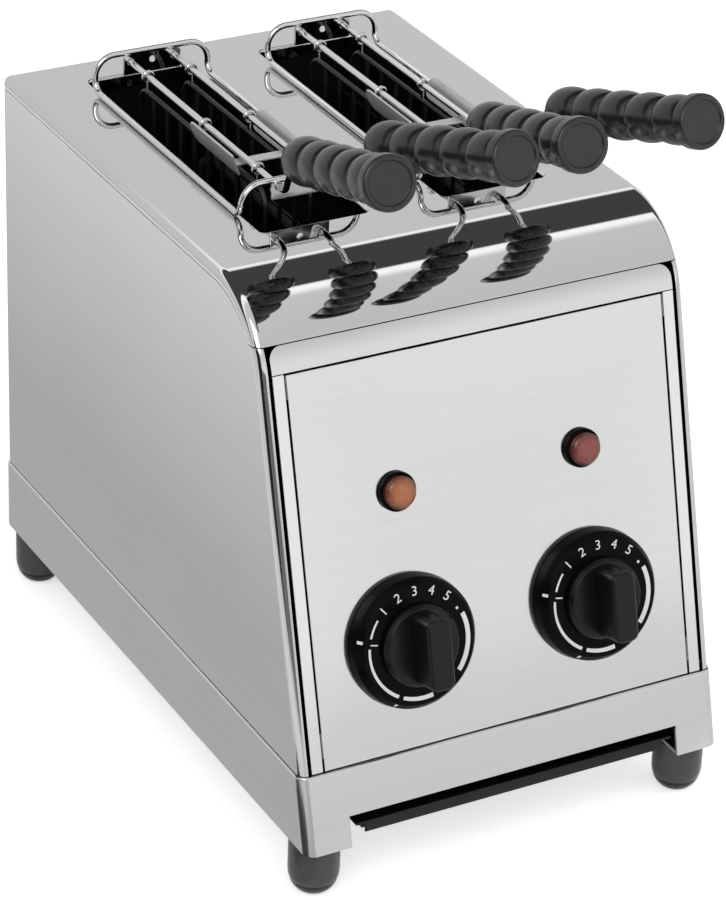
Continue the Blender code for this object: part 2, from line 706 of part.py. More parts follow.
def build_guard(name, middle, side, dark):
    """A flat wire guard: uprights before an element, welded to two long rails behind them."""
    wall = SHEET + CLEAR
    first, last = BOX_FRONT + ELEMENT_END_ROOM, BOX_REAR - ELEMENT_END_ROOM
    x = middle + side * GUARD_OFFSET
    rail_x = x + side * GUARD_RAIL_STEP
    places = [first + (last - first) * index / (GUARD_WIRES - 1) for index in range(GUARD_WIRES)]
    uprights = [[(x, y, GUARD_LOW), (x, y, GUARD_HIGH)] for y in places]
    levels = (GUARD_LOW + GUARD_RAIL_DROP, GUARD_HIGH - GUARD_RAIL_DROP)
    rails = [[(rail_x, BOX_FRONT + wall, z), (rail_x, BOX_REAR - wall, z)] for z in levels]
    guard = place(name, wires(name, uprights, GUARD_WIRE), dark)
    boolean(guard, place(f"{name}_rails", wires(f"{name}_rails", rails, GUARD_WIRE)), "UNION")


def build_tray(dark):
    """The crumb tray: a shallow pan with side flanges and a finger lip, which draws forwards."""
    half = TRAY_WIDTH / 2
    top = TRAY_BOTTOM + TRAY_HEIGHT
    front = front_y(top) + TRAY_FRONT_INSET
    rear = Y_REAR - TRAY_REAR_INSET
    wide = half + TRAY_FLANGE
    far, under = wide + OVERRUN, TRAY_BOTTOM - OVERRUN
    tray = place("crumb_tray", box((-wide, front - TRAY_LIP, TRAY_BOTTOM), (wide, rear, top)), dark)
    cuts = [("tray_under_lip", (-far, front - OVERRUN, under), (far, front, top - SHEET)),
            ("tray_inside", (-half + SHEET, front + SHEET, TRAY_BOTTOM + SHEET),
             (half - SHEET, rear - SHEET, top + OVERRUN)),
            ("tray_under_left", (-far, front - OVERRUN, under), (-half, rear + OVERRUN, top - SHEET)),
            ("tray_under_right", (half, front - OVERRUN, under), (far, rear + OVERRUN, top - SHEET))]
    for name, lower, upper in cuts:
        boolean(tray, place(name, box(lower, upper)))


def build_controls(black, red, chrome, grey, nylon):
    """Dial plates, knobs, timers with their shafts, and signal lamps, on the leaning front."""
    seat = DIAL_THICKNESS + 2 * CLEAR
    for side_name, side in (("left", -1), ("right", 1)):
        across = side * DIAL_OFFSET
        dial_at = front_frame_at(across, Z_BASE + DIAL_HEIGHT)
        bore = TIMER_BUSH_RADIUS + CLEAR
        face = DIAL_THICKNESS + CLEAR
        ring = [(bore, face), (DIAL_FACE_RADIUS, face), (DIAL_SHOULDER_RADIUS, DIAL_SHOULDER),
                (DIAL_RADIUS, CLEAR), (bore, CLEAR)]
        turned(f"{side_name}_dial_plate", ring + ring[:1], black, dial_at, steps=28)

        hole = SHAFT_RADIUS + SHAFT_CLEAR
        skirt = [(0, KNOB_SKIRT_HEIGHT), (KNOB_GRIP_LENGTH / 2 + DIAL_EDGE, KNOB_SKIRT_HEIGHT),
                 (KNOB_SKIRT_RADIUS, seat + DIAL_EDGE + KNOB_ROUND), (KNOB_SKIRT_RADIUS, seat), (0, seat)]
        knob = turned(f"{side_name}_knob", skirt, black, dial_at, steps=28)
        fin = box((-KNOB_GRIP_WIDTH / 2, -KNOB_GRIP_LENGTH / 2, seat + SHEET),
                  (KNOB_GRIP_WIDTH / 2, KNOB_GRIP_LENGTH / 2, KNOB_HEIGHT))
        round_edges(fin, KNOB_ROUND, 2, lambda edge: max(vert.co.z for vert in edge.verts) > seat + SHEET)
        boolean(knob, place(f"{side_name}_knob_fin", fin, matrix=dial_at), "UNION")
        boolean(knob, turned(f"{side_name}_shaft_hole", [(0, seat + SHAFT_BITE), (hole, seat + SHAFT_BITE),
                                                        (hole, -OVERRUN), (0, -OVERRUN)],
                             None, dial_at, steps=16))

        back = -SHEET - CLEAR
        timer = place(f"{side_name}_timer", box((-TIMER_WIDTH / 2, -TIMER_HEIGHT / 2, back - TIMER_DEPTH),
                                                (TIMER_WIDTH / 2, TIMER_HEIGHT / 2, back)), grey, dial_at)
        bush = [(0, DIAL_THICKNESS), (TIMER_BUSH_RADIUS, DIAL_THICKNESS),
                (TIMER_BUSH_RADIUS, back - SHEET), (0, back - SHEET)]
        boolean(timer, turned(f"{side_name}_bush", bush, None, dial_at, steps=16), "UNION")
        well = back - TIMER_DEPTH / 2
        boolean(timer, turned(f"{side_name}_bush_hole", [(0, OVERRUN), (hole, OVERRUN), (hole, well),
                                                        (0, well)], None, dial_at, steps=16))
        shaft = [(0, seat + SHAFT_BITE - CLEAR), (SHAFT_RADIUS, seat + SHAFT_BITE - CLEAR),
                 (SHAFT_RADIUS, well + CLEAR), (0, well + CLEAR)]
        turned(f"{side_name}_timer_shaft", shaft, chrome, dial_at, steps=16)

        lamp_at = front_frame_at(across, Z_BASE + LAMP_HEIGHT)
        seat_radius = LAMP_LENS_RADIUS
        floor = CLEAR + DIAL_EDGE
        body = [(0, floor), (seat_radius, floor), (seat_radius, CLEAR + LAMP_BEZEL_HEIGHT),
                (LAMP_BEZEL_RADIUS - DIAL_EDGE, CLEAR + LAMP_BEZEL_HEIGHT),
                (LAMP_BEZEL_RADIUS, CLEAR + LAMP_BEZEL_HEIGHT - DIAL_EDGE), (LAMP_BEZEL_RADIUS, CLEAR),
                (LAMP_BARREL_RADIUS, CLEAR), (LAMP_BARREL_RADIUS, -LAMP_BARREL_LENGTH),
                (0, -LAMP_BARREL_LENGTH)]
        turned(f"{side_name}_lamp_body", body, black, lamp_at, steps=20)
        radius = seat_radius - CLEAR
        rim = LAMP_LENS_HEIGHT - LAMP_CROWN
        lens = [(radius * math.sin(math.pi / 6 * step),
                 rim + LAMP_CROWN * math.cos(math.pi / 6 * step)) for step in range(4)]
        turned(f"{side_name}_lamp_lens", lens + [(radius, floor + CLEAR), (0, floor + CLEAR)],
               red, lamp_at, steps=18)

    gland = [(0, GLAND_LENGTH - GLAND_NUT), (GLAND_BORE, GLAND_LENGTH - GLAND_NUT),
             (GLAND_BORE, GLAND_LENGTH), (GLAND_RADIUS - 2 * SHEET, GLAND_LENGTH),
             (GLAND_RADIUS, GLAND_LENGTH - 2 * SHEET), (GLAND_RADIUS, CLEAR), (GLAND_NECK, CLEAR),
             (GLAND_NECK, -SHEET - CLEAR), (GLAND_RADIUS, -SHEET - CLEAR),
             (GLAND_RADIUS, -SHEET - CLEAR - GLAND_NUT), (0, -SHEET - CLEAR - GLAND_NUT)]
    turned("cable_gland", gland, nylon, along((0, BODY_REAR, Z_GLAND), (0, 1, 0)), steps=16)


def build_tong(tong, middle, chrome, dark, black, spring_steel):
    """One tong: wire frame, two brackets, two jaws on their rods, grips and a closing spring."""
    build_tong_frame(tong, middle, chrome)
    for side_name, side in (("left", -1), ("right", 1)):
        build_rod_and_grip(f"{tong}_{side_name}", middle, side, chrome, black)
        build_jaw(f"{tong}_{side_name}_jaw", middle + side * ROD_OFFSET, dark)
    build_spring(f"{tong}_closing_spring", middle, spring_steel)


def build_tong_frame(tong, middle, chrome):
    """The closed wire frame that rests on the cover round the slot, and its two brackets."""
    rail = Z_TOP + CLEAR + WIRE_RADIUS
    arch = Z_TOP + TONG_ARCH_HEIGHT
    left, right = middle - TONG_RAIL_OFFSET, middle + TONG_RAIL_OFFSET
    corners = [(left, TONG_FRONT, rail), (left, TONG_REAR, rail), (left, TONG_REAR, arch),
               (right, TONG_REAR, arch), (right, TONG_REAR, rail), (right, TONG_FRONT, rail),
               (right, TONG_FRONT, arch), (left, TONG_FRONT, arch)]
    radii = [TONG_RAIL_ROUND if corner[2] == rail else TONG_ARCH_ROUND for corner in corners]
    place(f"{tong}_frame", tube(rounded_path(corners, radii, 3, True), WIRE_RADIUS, closed=True), chrome)
    for end, y in (("front", TONG_FRONT), ("rear", TONG_REAR)):
        outline = []
        for side in (1, -1):
            for step in range(6):
                angle = math.pi * (step / 5 - side / 2)
                outline.append((middle + side * ROD_OFFSET + EYELET_RADIUS * math.cos(angle),
                                ROD_LEVEL + EYELET_RADIUS * math.sin(angle)))
        holes = [circle(ROD_RADIUS + ROD_CLEAR, 12, (middle + side * ROD_OFFSET, ROD_LEVEL))
                 for side in (-1, 1)]
        holes.append(circle(BRACKET_HOLE, 8, (middle, ROD_LEVEL)))
        place(f"{tong}_{end}_bracket", plate([outline] + holes, BRACKET_SHEET), chrome, wall_at(y))


def build_rod_and_grip(name, middle, side, chrome, black):
    """A pivot rod that bends up at the front, and the ribbed grip on its end."""
    x = middle + side * ROD_OFFSET
    start = Vector((middle + side * GRIP_START_OFFSET, TONG_FRONT - GRIP_START_REACH,
                    Z_TOP + GRIP_START_RISE))
    end = Vector((middle + side * GRIP_END_OFFSET, TONG_FRONT - GRIP_END_REACH, Z_TOP + GRIP_END_RISE))
    length = (end - start).length
    direction = (end - start).normalized()
    bite = GRIP_BITE_SHARE * length
    corners = [(x, TONG_REAR + ROD_REAR_OVERHANG, ROD_LEVEL), (x, TONG_FRONT - ROD_FRONT_OVERHANG, ROD_LEVEL),
               start - direction * ROD_BEND, start + direction * (bite - CLEAR)]
    place(f"{name}_rod", tube(rounded_path(corners, ROD_BEND, 3), ROD_RADIUS), chrome)

    front, back = length + CAP_THICKNESS / 2, length - CAP_THICKNESS / 2
    profile = [(0, front), (CAP_RADIUS - CAP_EDGE, front), (CAP_RADIUS, front - CAP_EDGE),
               (CAP_RADIUS, back + CAP_EDGE), (CAP_RADIUS - CAP_EDGE, back)]
    bead = back / GRIP_BEADS
    for index in range(GRIP_BEADS, 0, -1):
        for share in (0.97, 0.75, 0.5, 0.25):
            swell = math.sqrt(max(0.0, math.sin(math.pi * share)))
            profile.append((GRIP_VALLEY + (GRIP_BULGE - GRIP_VALLEY) * swell, bead * (index - 1 + share)))
    bore = ROD_RADIUS + ROD_CLEAR
    profile += [(GRIP_NOSE, 0), (bore, 0), (bore, bite), (0, bite)]
    turned(f"{name}_grip", profile, black, along(start, direction), steps=14)


def build_jaw(name, x, dark):
    """A wire grid that hangs from its rod by three loops."""
    top = ROD_LEVEL - JAW_DROP
    bottom = top - JAW_DEPTH
    front, rear = SLOT_MIDDLE - JAW_LENGTH / 2, SLOT_MIDDLE + JAW_LENGTH / 2
    loop = [(x, front, top), (x, rear, top), (x, rear, bottom), (x, front, bottom)]
    jaw = place(name, tube(rounded_path(loop, JAW_CORNER, 3, True), JAW_WIRE, closed=True, resolution=1), dark)
    ring = ROD_RADIUS + CLEAR + HANGER_WIRE
    rows = [front + JAW_LENGTH * (index + 1) / (JAW_UPRIGHTS + 1) for index in range(JAW_UPRIGHTS)]
    hung = [front + JAW_LENGTH * share for share in HANGER_SHARES]
    uprights = wires(f"{name}_uprights", [[(x, y, bottom), (x, y, top)] for y in rows], HANGER_WIRE)
    stem_paths = [[(x, y, ROD_LEVEL - ring), (x, y, top)] for y in hung]
    hoops = bmesh.new()
    for y in hung:
        hoop = [(x + ring * math.sin(2 * math.pi * step / 8), y,
                 ROD_LEVEL + ring * math.cos(2 * math.pi * step / 8)) for step in range(8)]
        hoops.from_mesh(tube(hoop, HANGER_WIRE, closed=True, resolution=0))
    hangers = bpy.data.meshes.new(f"{name}_hangers")
    hoops.to_mesh(hangers)
    hoops.free()
    stems = wires(f"{name}_stems", stem_paths, STEM_WIRE)
    for part_name, part in (("uprights", uprights), ("hangers", hangers), ("stems", stems)):
        boolean(jaw, place(f"{name}_{part_name}", part), "UNION")


def build_spring(name, middle, steel):
    """A flat U-shaped spring: a strap under the rods and a leaf along the outside of each."""
    strap_y = TONG_FRONT + SPRING_FRONT
    level = ROD_LEVEL - ROD_RADIUS - CLEAR - SPRING_SHEET / 2
    inner = ROD_OFFSET + SPRING_SPREAD
    spring = place(name, box((middle - inner, strap_y, level - SPRING_SHEET / 2),
                             (middle + inner, strap_y + SPRING_STRAP, level + SPRING_SHEET / 2)), steel)
    tip = SPRING_HEIGHT / 2
    leaf = [(0, -tip), (SPRING_LENGTH - tip, -tip)]
    leaf += [(SPRING_LENGTH - tip + tip * math.cos(angle), tip * math.sin(angle))
             for angle in (math.pi * (step / 6 - 0.5) for step in range(1, 6))]
    leaf += [(SPRING_LENGTH - tip, tip), (0, tip)]
    for side in (-1, 1):
        lean = Matrix.Rotation(side * SPRING_LEAN, 4, "Y")
        spot = Matrix.Translation((middle + side * inner, strap_y, level))
        boolean(spring, place(f"{name}_leaf_{side}", plate([leaf], SPRING_SHEET),
                              matrix=spot @ lean @ SIDE_PLANE), "UNION")


def main():
    """Builds every sub-part of the toaster and its tongs."""
    clear_scene()
    mirror = material("mirror_steel", STEEL, 0.05, 1.0)
    satin = material("satin_steel", STEEL, 0.28, 1.0)
    sheet = material("plain_steel", (0.60, 0.60, 0.61), 0.4, 1.0)
    chrome = material("bright_wire", (0.80, 0.80, 0.81), 0.12, 1.0)
    spring_steel = material("spring_steel", (0.74, 0.74, 0.74), 0.3, 1.0)
    hot = material("element_sheath", (0.22, 0.20, 0.19), 0.6, 0.6)
    dark = material("burnt_steel", (0.12, 0.12, 0.12), 0.5, 0.8)
    black = material("black_plastic", (0.02, 0.02, 0.022), 0.35, 0.0)
    rubber = material("dark_rubber", (0.06, 0.06, 0.06), 0.6, 0.0)
    nylon = material("black_nylon", (0.04, 0.04, 0.04), 0.5, 0.0)
    red = material("red_lens", (0.45, 0.09, 0.05), 0.2, 0.0)
    grey = material("grey_moulding", (0.45, 0.45, 0.44), 0.5, 0.0)
    ceramic = material("ceramic", (0.85, 0.83, 0.78), 0.4, 0.0)
    build_base(satin, rubber)
    build_casing(mirror, satin, satin)
    build_inside(sheet, hot, dark, ceramic)
    build_controls(black, red, chrome, grey, nylon)
    for tong, side in (("left_tong", -1), ("right_tong", 1)):
        build_tong(tong, side * SLOT_PITCH / 2, chrome, dark, black, spring_steel)


main()
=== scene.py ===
"""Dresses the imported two-slot toaster and its pair of sandwich tongs: studio, surfaces and finishes."""

import math

import bmesh
import bpy
import numpy as np
from mathutils import Matrix, Vector


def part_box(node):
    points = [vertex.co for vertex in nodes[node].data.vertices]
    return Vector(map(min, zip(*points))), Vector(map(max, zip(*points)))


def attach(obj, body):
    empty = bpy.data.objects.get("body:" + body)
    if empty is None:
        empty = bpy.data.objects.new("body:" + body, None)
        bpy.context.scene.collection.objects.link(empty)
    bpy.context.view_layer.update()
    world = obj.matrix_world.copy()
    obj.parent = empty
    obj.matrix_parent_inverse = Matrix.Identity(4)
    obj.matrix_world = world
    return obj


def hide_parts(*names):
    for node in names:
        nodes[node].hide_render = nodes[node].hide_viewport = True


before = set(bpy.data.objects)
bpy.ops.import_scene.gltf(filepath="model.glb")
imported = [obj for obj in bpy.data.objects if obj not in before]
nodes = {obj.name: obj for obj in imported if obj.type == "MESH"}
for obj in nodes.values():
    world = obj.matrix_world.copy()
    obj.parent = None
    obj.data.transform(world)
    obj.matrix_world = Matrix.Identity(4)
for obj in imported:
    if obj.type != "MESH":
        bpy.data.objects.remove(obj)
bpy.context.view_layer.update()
scene = bpy.context.scene

# The studio: a sheet of white paper on the floor and pale cloth all round, with one dark gap and a
# lamp strip overhead. The camera stands at the front left, a little above the toaster. Cards that only
# metal shows stand and lie about it: they light the front and give the corners their dark lines.
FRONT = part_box("base_band")[0].y
CAMERA_PLACE = (-0.77108, FRONT - 1.20996, 0.99603)
CAMERA_HEADING = math.radians(-29.394)
CAMERA_TILT = math.radians(61.227)
CAMERA_ROLL = math.radians(2.179)
CAMERA_LENS = 149.23
CAMERA_FILM = 36.0
CAMERA_REACH = (0.05, 50.0)
FLOOR_SPAN = 12.0
CLOTH_SEEN = (1.0, 1.0, 1.0, 1.0)
CLOTH_STOPS = ((0.0, 0.80), (0.192, 0.80), (0.206, 1.35), (0.219, 1.35), (0.236, 0.07), (0.458, 0.07),
               (0.470, 1.45), (0.494, 1.45), (0.53, 0.84), (0.80, 0.78), (0.93, 1.10), (1.0, 1.10))
PAPER = (0.86, 0.86, 0.86, 1.0)
PAPER_GLOW = 0.55
PAPER_GLOW_IN_METAL = 0.2
CARD_LIFT = 0.0008
STANDING_CARDS = (("dark_card", (-0.86, -0.27), (-0.65, -0.70), 0.55, 0.02),
                  ("grey_card", (-0.64, -0.71), (-0.25, -1.02), 0.36, 0.20),
                  ("white_card", (0.05, -1.10), (0.85, -1.00), 0.30, 1.12))
SHEET_REACH = (-0.64, -0.20)
SHEET_STOPS = ((0.0, 0.84), (0.5, 1.0), (1.0, 0.57))
SHEET_CORNERS = ((-0.113, -0.80), (-0.113, 1.10), (-0.64, 1.10), (-0.64, -0.80))
LEFT_PATCH = ((-0.135, -0.150), (-0.155, -0.128), (-0.20, -0.100), (-0.30, -0.13), (-0.30, -0.29),
              (-0.26, -0.28), (-0.15, -0.18))
PATCH_LEVEL = 0.05
LAMP_TARGET = (0, 0, 0.15)

camera_data = bpy.data.cameras.new("camera")
camera_data.sensor_fit = "VERTICAL"
camera_data.sensor_height = CAMERA_FILM
camera_data.lens = CAMERA_LENS
camera_data.clip_start, camera_data.clip_end = CAMERA_REACH
turns = (Matrix.Rotation(CAMERA_HEADING, 4, "Z") @ Matrix.Rotation(CAMERA_TILT, 4, "X")
         @ Matrix.Rotation(CAMERA_ROLL, 4, "Z"))
scene.view_settings.view_transform = "Standard"


def stood(name, data):
    """A new object in the scene."""
    item = bpy.data.objects.new(name, data)
    scene.collection.objects.link(item)
    return item


def new_look(name):
    """An empty node material and its output node."""
    look = bpy.data.materials.new(name)
    look.use_nodes = True
    look.node_tree.nodes.clear()
    return look, look.node_tree, look.node_tree.nodes.new("ShaderNodeOutputMaterial")


def add_node(tree, kind, inlets=None, **traits):
    """A new node, whose inlets each take a value or a link from another node's outlet."""
    node = tree.nodes.new("ShaderNode" + kind)
    for trait, value in traits.items():
        setattr(node, trait, value)
    for inlet, value in (inlets or {}).items():
        if isinstance(value, bpy.types.NodeSocket):
            tree.links.new(value, node.inputs[inlet])
        else:
            node.inputs[inlet].default_value = value
    return node


def sums(tree, operation, *terms):
    """The outlet of a Math node over numbers or outlets."""
    return add_node(tree, "Math", dict(enumerate(terms)), operation=operation).outputs[0]


def blended(tree, share, first, second):
    """A colour that runs from the first to the second as the share runs from 0 to 1."""
    return add_node(tree, "Mix", {0: share, 6: first, 7: second}, data_type="RGBA").outputs[2]


def grey_ramp(tree, share, stops):
    """Greys that run from stop to stop along a share of 0 to 1."""
    node = add_node(tree, "ValToRGB", {"Fac": share})
    while len(node.color_ramp.elements) < len(stops):
        node.color_ramp.elements.new(1.0)
    for element, (place, level) in zip(node.color_ramp.elements, stops):
        element.position = place
        element.color = (level, level, level, 1.0)
    return node.outputs["Color"]


def hang_cloth():
    """Brightness by the angle round the left-right axis: 0 at the back horizon, 0.5 overhead, 1 in front."""
    world = bpy.data.worlds.new("studio_cloth")
    scene.world = world
    world.use_nodes = True
    tree = world.node_tree
    tree.nodes.clear()
    way = add_node(tree, "SeparateXYZ", {0: add_node(tree, "TexCoord").outputs["Generated"]})
    share = sums(tree, "DIVIDE", sums(tree, "ARCTAN2", way.outputs["Z"], way.outputs["Y"]), math.pi)
    seen = add_node(tree, "LightPath").outputs["Is Camera Ray"]
    shade = blended(tree, seen, grey_ramp(tree, share, CLOTH_STOPS), CLOTH_SEEN)
    glow = add_node(tree, "Background", {"Color": shade})
    add_node(tree, "OutputWorld", {0: glow.outputs[0]})


def stage_sheet(name, corners, finish):
    """A flat sheet of the studio from its corner points, with an empty look."""
    mesh = bpy.data.meshes.new(name)
    mesh.from_pydata(corners, [], [tuple(range(len(corners)))])
    sheet = stood(name, mesh)
    look, tree, end = new_look(finish)
    mesh.materials.append(look)
    return sheet, tree, end


def lay_paper():
    """The white floor: it takes the shadow, and glows a little so that it shows as white."""
    span = FLOOR_SPAN
    corners = [(-span, -span, 0), (span, -span, 0), (span, span, 0), (-span, span, 0)]
    tree, end = stage_sheet("floor", corners, "floor_paper")[1:]
    paper = add_node(tree, "BsdfDiffuse", {"Color": PAPER})
    rays = add_node(tree, "LightPath").outputs
    seen = sums(tree, "MAXIMUM", rays["Is Camera Ray"], rays["Is Transmission Ray"])
    both = sums(tree, "MULTIPLY_ADD", rays["Is Glossy Ray"], PAPER_GLOW_IN_METAL, seen)
    glow = add_node(tree, "Emission", {"Strength": sums(tree, "MULTIPLY", both, PAPER_GLOW)})
    add = add_node(tree, "AddShader", {0: paper.outputs[0], 1: glow.outputs[0]})
    tree.links.new(add.outputs[0], end.inputs[0])


def show_card(name, corners, level):
    """A card that only metal shows: of one brightness, or of brightness stops across its width."""
    card, tree, end = stage_sheet(name, corners, name)
    if isinstance(level, tuple):
        split = add_node(tree, "SeparateXYZ", {0: add_node(tree, "TexCoord").outputs["Object"]})
        across = add_node(tree, "MapRange", {"Value": split.outputs["X"], "From Min": SHEET_REACH[0],
                                             "From Max": SHEET_REACH[1]})
        shade = {"Color": grey_ramp(tree, across.outputs[0], level)}
    else:
        shade = {"Strength": level}
    tree.links.new(add_node(tree, "Emission", shade).outputs[0], end.inputs[0])
    for ray in ("camera", "diffuse", "transmission", "shadow"):
        setattr(card, f"visible_{ray}", False)


def standing(first, second, height):
    """The corners of a card that stands on the floor between two points."""
    return [(*first, CARD_LIFT), (*second, CARD_LIFT), (*second, height), (*first, height)]


def lying(points, layer=1):
    """The corners of a card that lies on the floor."""
    return [(*point, CARD_LIFT * layer) for point in points]


def soft_lamp(name, place, size, power, shows):
    """A square soft lamp that faces the toaster; it shows in glossy surfaces or it doesn't."""
    data = bpy.data.lights.new(name, "AREA")
    data.shape = "SQUARE"
    data.size = size
    data.energy = power
    lamp = stood(name, data)
    aim = (Vector(LAMP_TARGET) - Vector(place)).to_track_quat("-Z", "Y")
    lamp.matrix_world = Matrix.Translation(place) @ aim.to_matrix().to_4x4()
    lamp.visible_glossy = shows


scene.camera = stood("camera", camera_data)
scene.camera.matrix_world = Matrix.Translation(CAMERA_PLACE) @ turns
hang_cloth()
lay_paper()
for card_name, first_foot, second_foot, card_height, card_level in STANDING_CARDS:
    show_card(card_name, standing(first_foot, second_foot, card_height), card_level)
show_card("side_sheet", lying(SHEET_CORNERS), SHEET_STOPS)
show_card("left_patch", lying(LEFT_PATCH, 2), PATCH_LEVEL)
soft_lamp("key_lamp", (-1.4, -1.6, 2.0), size=1.4, power=18.0, shows=True)
soft_lamp("fill_lamp", (1.6, -0.8, 1.4), size=1.6, power=8.0, shows=False)

# The base band: a skirt of satin steel folded round the foot of the body, with rounded corners, a
# front that leans back as the body does, a folded top edge and the crumb tray's mouth cut in it.
BASE_LOW, BASE_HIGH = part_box("base_band")
LEAN = math.radians(15.0)
BASE_CORNER = 0.006
BASE_LEDGE = 0.006
BASE_TOP_ROUND = 0.0010
TIGHTEST_CORNER = 0.0003
SHEET = 0.0012
MOUTH_HALF = 0.087
MOUTH_TOP = BASE_LOW.z + 0.0145
SMALL_BEVEL = 0.00025
STEEL_SHADE = (0.62, 0.62, 0.615)
PLAIN_SHADE = (0.50, 0.50, 0.49)
BRUSHED = (9.0, 9.0, 420.0)
# Sharp edges of steel turn lighter where pointiness runs over these values: partly wear, partly a painted
# highlight.
METAL_WEAR_AND_HIGHLIGHT_RANGE = (0.52, 0.62)
METAL_WEAR_AND_HIGHLIGHT_TINT = {"gain": 1.3, "lift": 0.05}
BROAD_DRIFT = 14.0
FINE_SHARE = 0.6
BROAD_SHARE = 0.4


def grid_of(x, y, z):
    """Points from their three coordinates, each a number, a row, a column or a whole grid."""
    return np.stack(np.broadcast_arrays(x, y, z), axis=-1)


def circled(radius, angle, height, x=0, y=0):
    """Points at a radius and an angle round a middle, at a height."""
    return grid_of(x + radius * np.cos(angle), y + radius * np.sin(angle), height)


def rounded(radius, turn):
    """How far an edge of a radius lies in and down at an angle: r (1 - cos t) and r (1 - sin t)."""
    return radius * (1 - np.cos(turn)), radius * (1 - np.sin(turn))


def quarter(count):
    """Angles from nought to a quarter turn."""
    return np.radians(np.linspace(0, 90, count))


def knit(name, patches, crease=40.0, away_from=None, merge=0.00001):
    """One mesh from grids of points: cell (i, j) of each grid is a quad between its four points.

    A patch is a grid, or a grid with a table of the cells to keep. Points that meet are merged, and
    the faces are turned the same way: outwards, or away from a given point on an open sheet.
    """
    points, quads, start = [], [], 0
    for patch in patches:
        grid, kept = patch if isinstance(patch, tuple) else (patch, None)
        index = start + np.arange(grid.shape[0] * grid.shape[1]).reshape(grid.shape[:2])
        cells = np.stack((index[:-1, :-1], index[:-1, 1:], index[1:, 1:], index[1:, :-1]), axis=-1)
        quads.append(cells.reshape(-1, 4) if kept is None else cells[kept])
        points.append(grid.reshape(-1, 3))
        start += index.size
    mesh = bpy.data.meshes.new(name)
    mesh.from_pydata(np.concatenate(points).tolist(), [], np.concatenate(quads).tolist())
    work = bmesh.new()
    work.from_mesh(mesh)
    bmesh.ops.remove_doubles(work, verts=work.verts, dist=merge)
    bmesh.ops.delete(work, geom=[vert for vert in work.verts if not vert.link_faces], context="VERTS")
    bmesh.ops.recalc_face_normals(work, faces=work.faces)
    if away_from is not None:
        middle = Vector(away_from)
        facing = sum(face.normal.dot(face.calc_center_median() - middle) * face.calc_area()
                     for face in work.faces)
        if facing < 0:
            bmesh.ops.reverse_faces(work, faces=work.faces)
    return shown(work, mesh, crease)


def shown(work, mesh, crease):
    """The finished mesh in a new object: smooth, but sharp where faces meet at more than the crease."""
    work.to_mesh(mesh)
    work.free()
    mesh.shade_smooth()
    mesh.set_sharp_from_angle(angle=math.radians(crease))
    return stood(mesh.name, mesh)


def seat(piece, look, slot, *stands_for, body="casing"):
    """Gives a piece its finish, and the nodes and the body it goes with; the slot argument is not used."""
    piece.data.materials.clear()
    piece.data.materials.append(look)
    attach(piece, body)
    if stands_for:
        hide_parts(*stands_for)
    return piece


def ease(piece, thickness=0.0, bevel=SMALL_BEVEL):
    """Gives an open sheet its thickness inwards, then eases the cut edges; flats stay flat."""
    if thickness:
        wall = piece.modifiers.new("thickness", "SOLIDIFY")
        wall.thickness = thickness
        wall.offset = -1.0
    edge = piece.modifiers.new("eased_edges", "BEVEL")
    edge.width = bevel
    edge.segments = 2
    edge.limit_method = "ANGLE"
    edge.angle_limit = math.radians(50)
    level = piece.modifiers.new("flat_faces", "WEIGHTED_NORMAL")
    level.keep_sharp = True
    return piece


def tint(shade, gain=1.0, lift=0.0):
    """A shade made lighter or darker: level * gain + lift, held between 0 and 1."""
    return (*(min(max(level * gain + lift, 0.0), 1.0) for level in shade), 1.0)


def tinted_by_sharpness(tree, colour, sharpness, amount, other):
    """The colour, turned to another where the surface's sharpness runs between two values."""
    edges = add_node(tree, "NewGeometry").outputs["Pointiness"]
    worn = add_node(tree, "MapRange", {"Value": edges, "From Min": sharpness[0], "From Max": sharpness[1]})
    return blended(tree, sums(tree, "MULTIPLY", worn.outputs[0], amount), colour, other)


def skin_over(tree, end, grain, relief, relief_depth, inlets):
    """The shader that each finish ends in, with a fine relief from the finish's own grain."""
    bump = add_node(tree, "Bump", {"Strength": relief, "Distance": relief_depth, "Height": grain})
    skin = add_node(tree, "BsdfPrincipled", {**inlets, "Normal": bump.outputs[0]})
    tree.links.new(skin.outputs[0], end.inputs[0])


def metal(name, shade, roughness, grain=(30.0, 30.0, 30.0), drift=0.04, rough_drift=0.03, relief=0.02,
          relief_depth=0.00002, wear_and_highlight=0.0):
    """A steel finish: shade, roughness and relief drift with a stretched noise; sharp edges run lighter,
    partly from wear and partly as a painted highlight.
    """
    look, tree, end = new_look(name)
    where = add_node(tree, "TexCoord").outputs["Object"]
    stretch = add_node(tree, "Mapping", {"Vector": where, "Scale": grain}).outputs[0]
    fine = add_node(tree, "TexNoise", {"Vector": stretch, "Scale": 1.0, "Detail": 5.0}).outputs["Fac"]
    broad = add_node(tree, "TexNoise", {"Vector": where, "Scale": BROAD_DRIFT, "Detail": 2.0}).outputs["Fac"]
    share = sums(tree, "MULTIPLY_ADD", fine, FINE_SHARE, sums(tree, "MULTIPLY", broad, BROAD_SHARE))
    colour = blended(tree, share, tint(shade, lift=-drift), tint(shade, lift=drift))
    # Lighter sharp edges: partly wear, partly a painted highlight.
    if wear_and_highlight:
        colour = tinted_by_sharpness(tree, colour, METAL_WEAR_AND_HIGHLIGHT_RANGE, wear_and_highlight, tint(shade, **METAL_WEAR_AND_HIGHLIGHT_TINT))
    rough = sums(tree, "MULTIPLY_ADD", share, 2 * rough_drift, roughness - rough_drift)
    skin_over(tree, end, fine, relief, relief_depth,
              {"Metallic": 1.0, "Base Color": colour, "Roughness": rough})
    return look


def front_plane(height, inset=0.0):
    """Y of the leaning front at a height: it falls back by tan(lean) for each metre up."""
    return BASE_LOW.y + math.tan(LEAN) * (height - BASE_LOW.z) + inset / math.cos(LEAN)


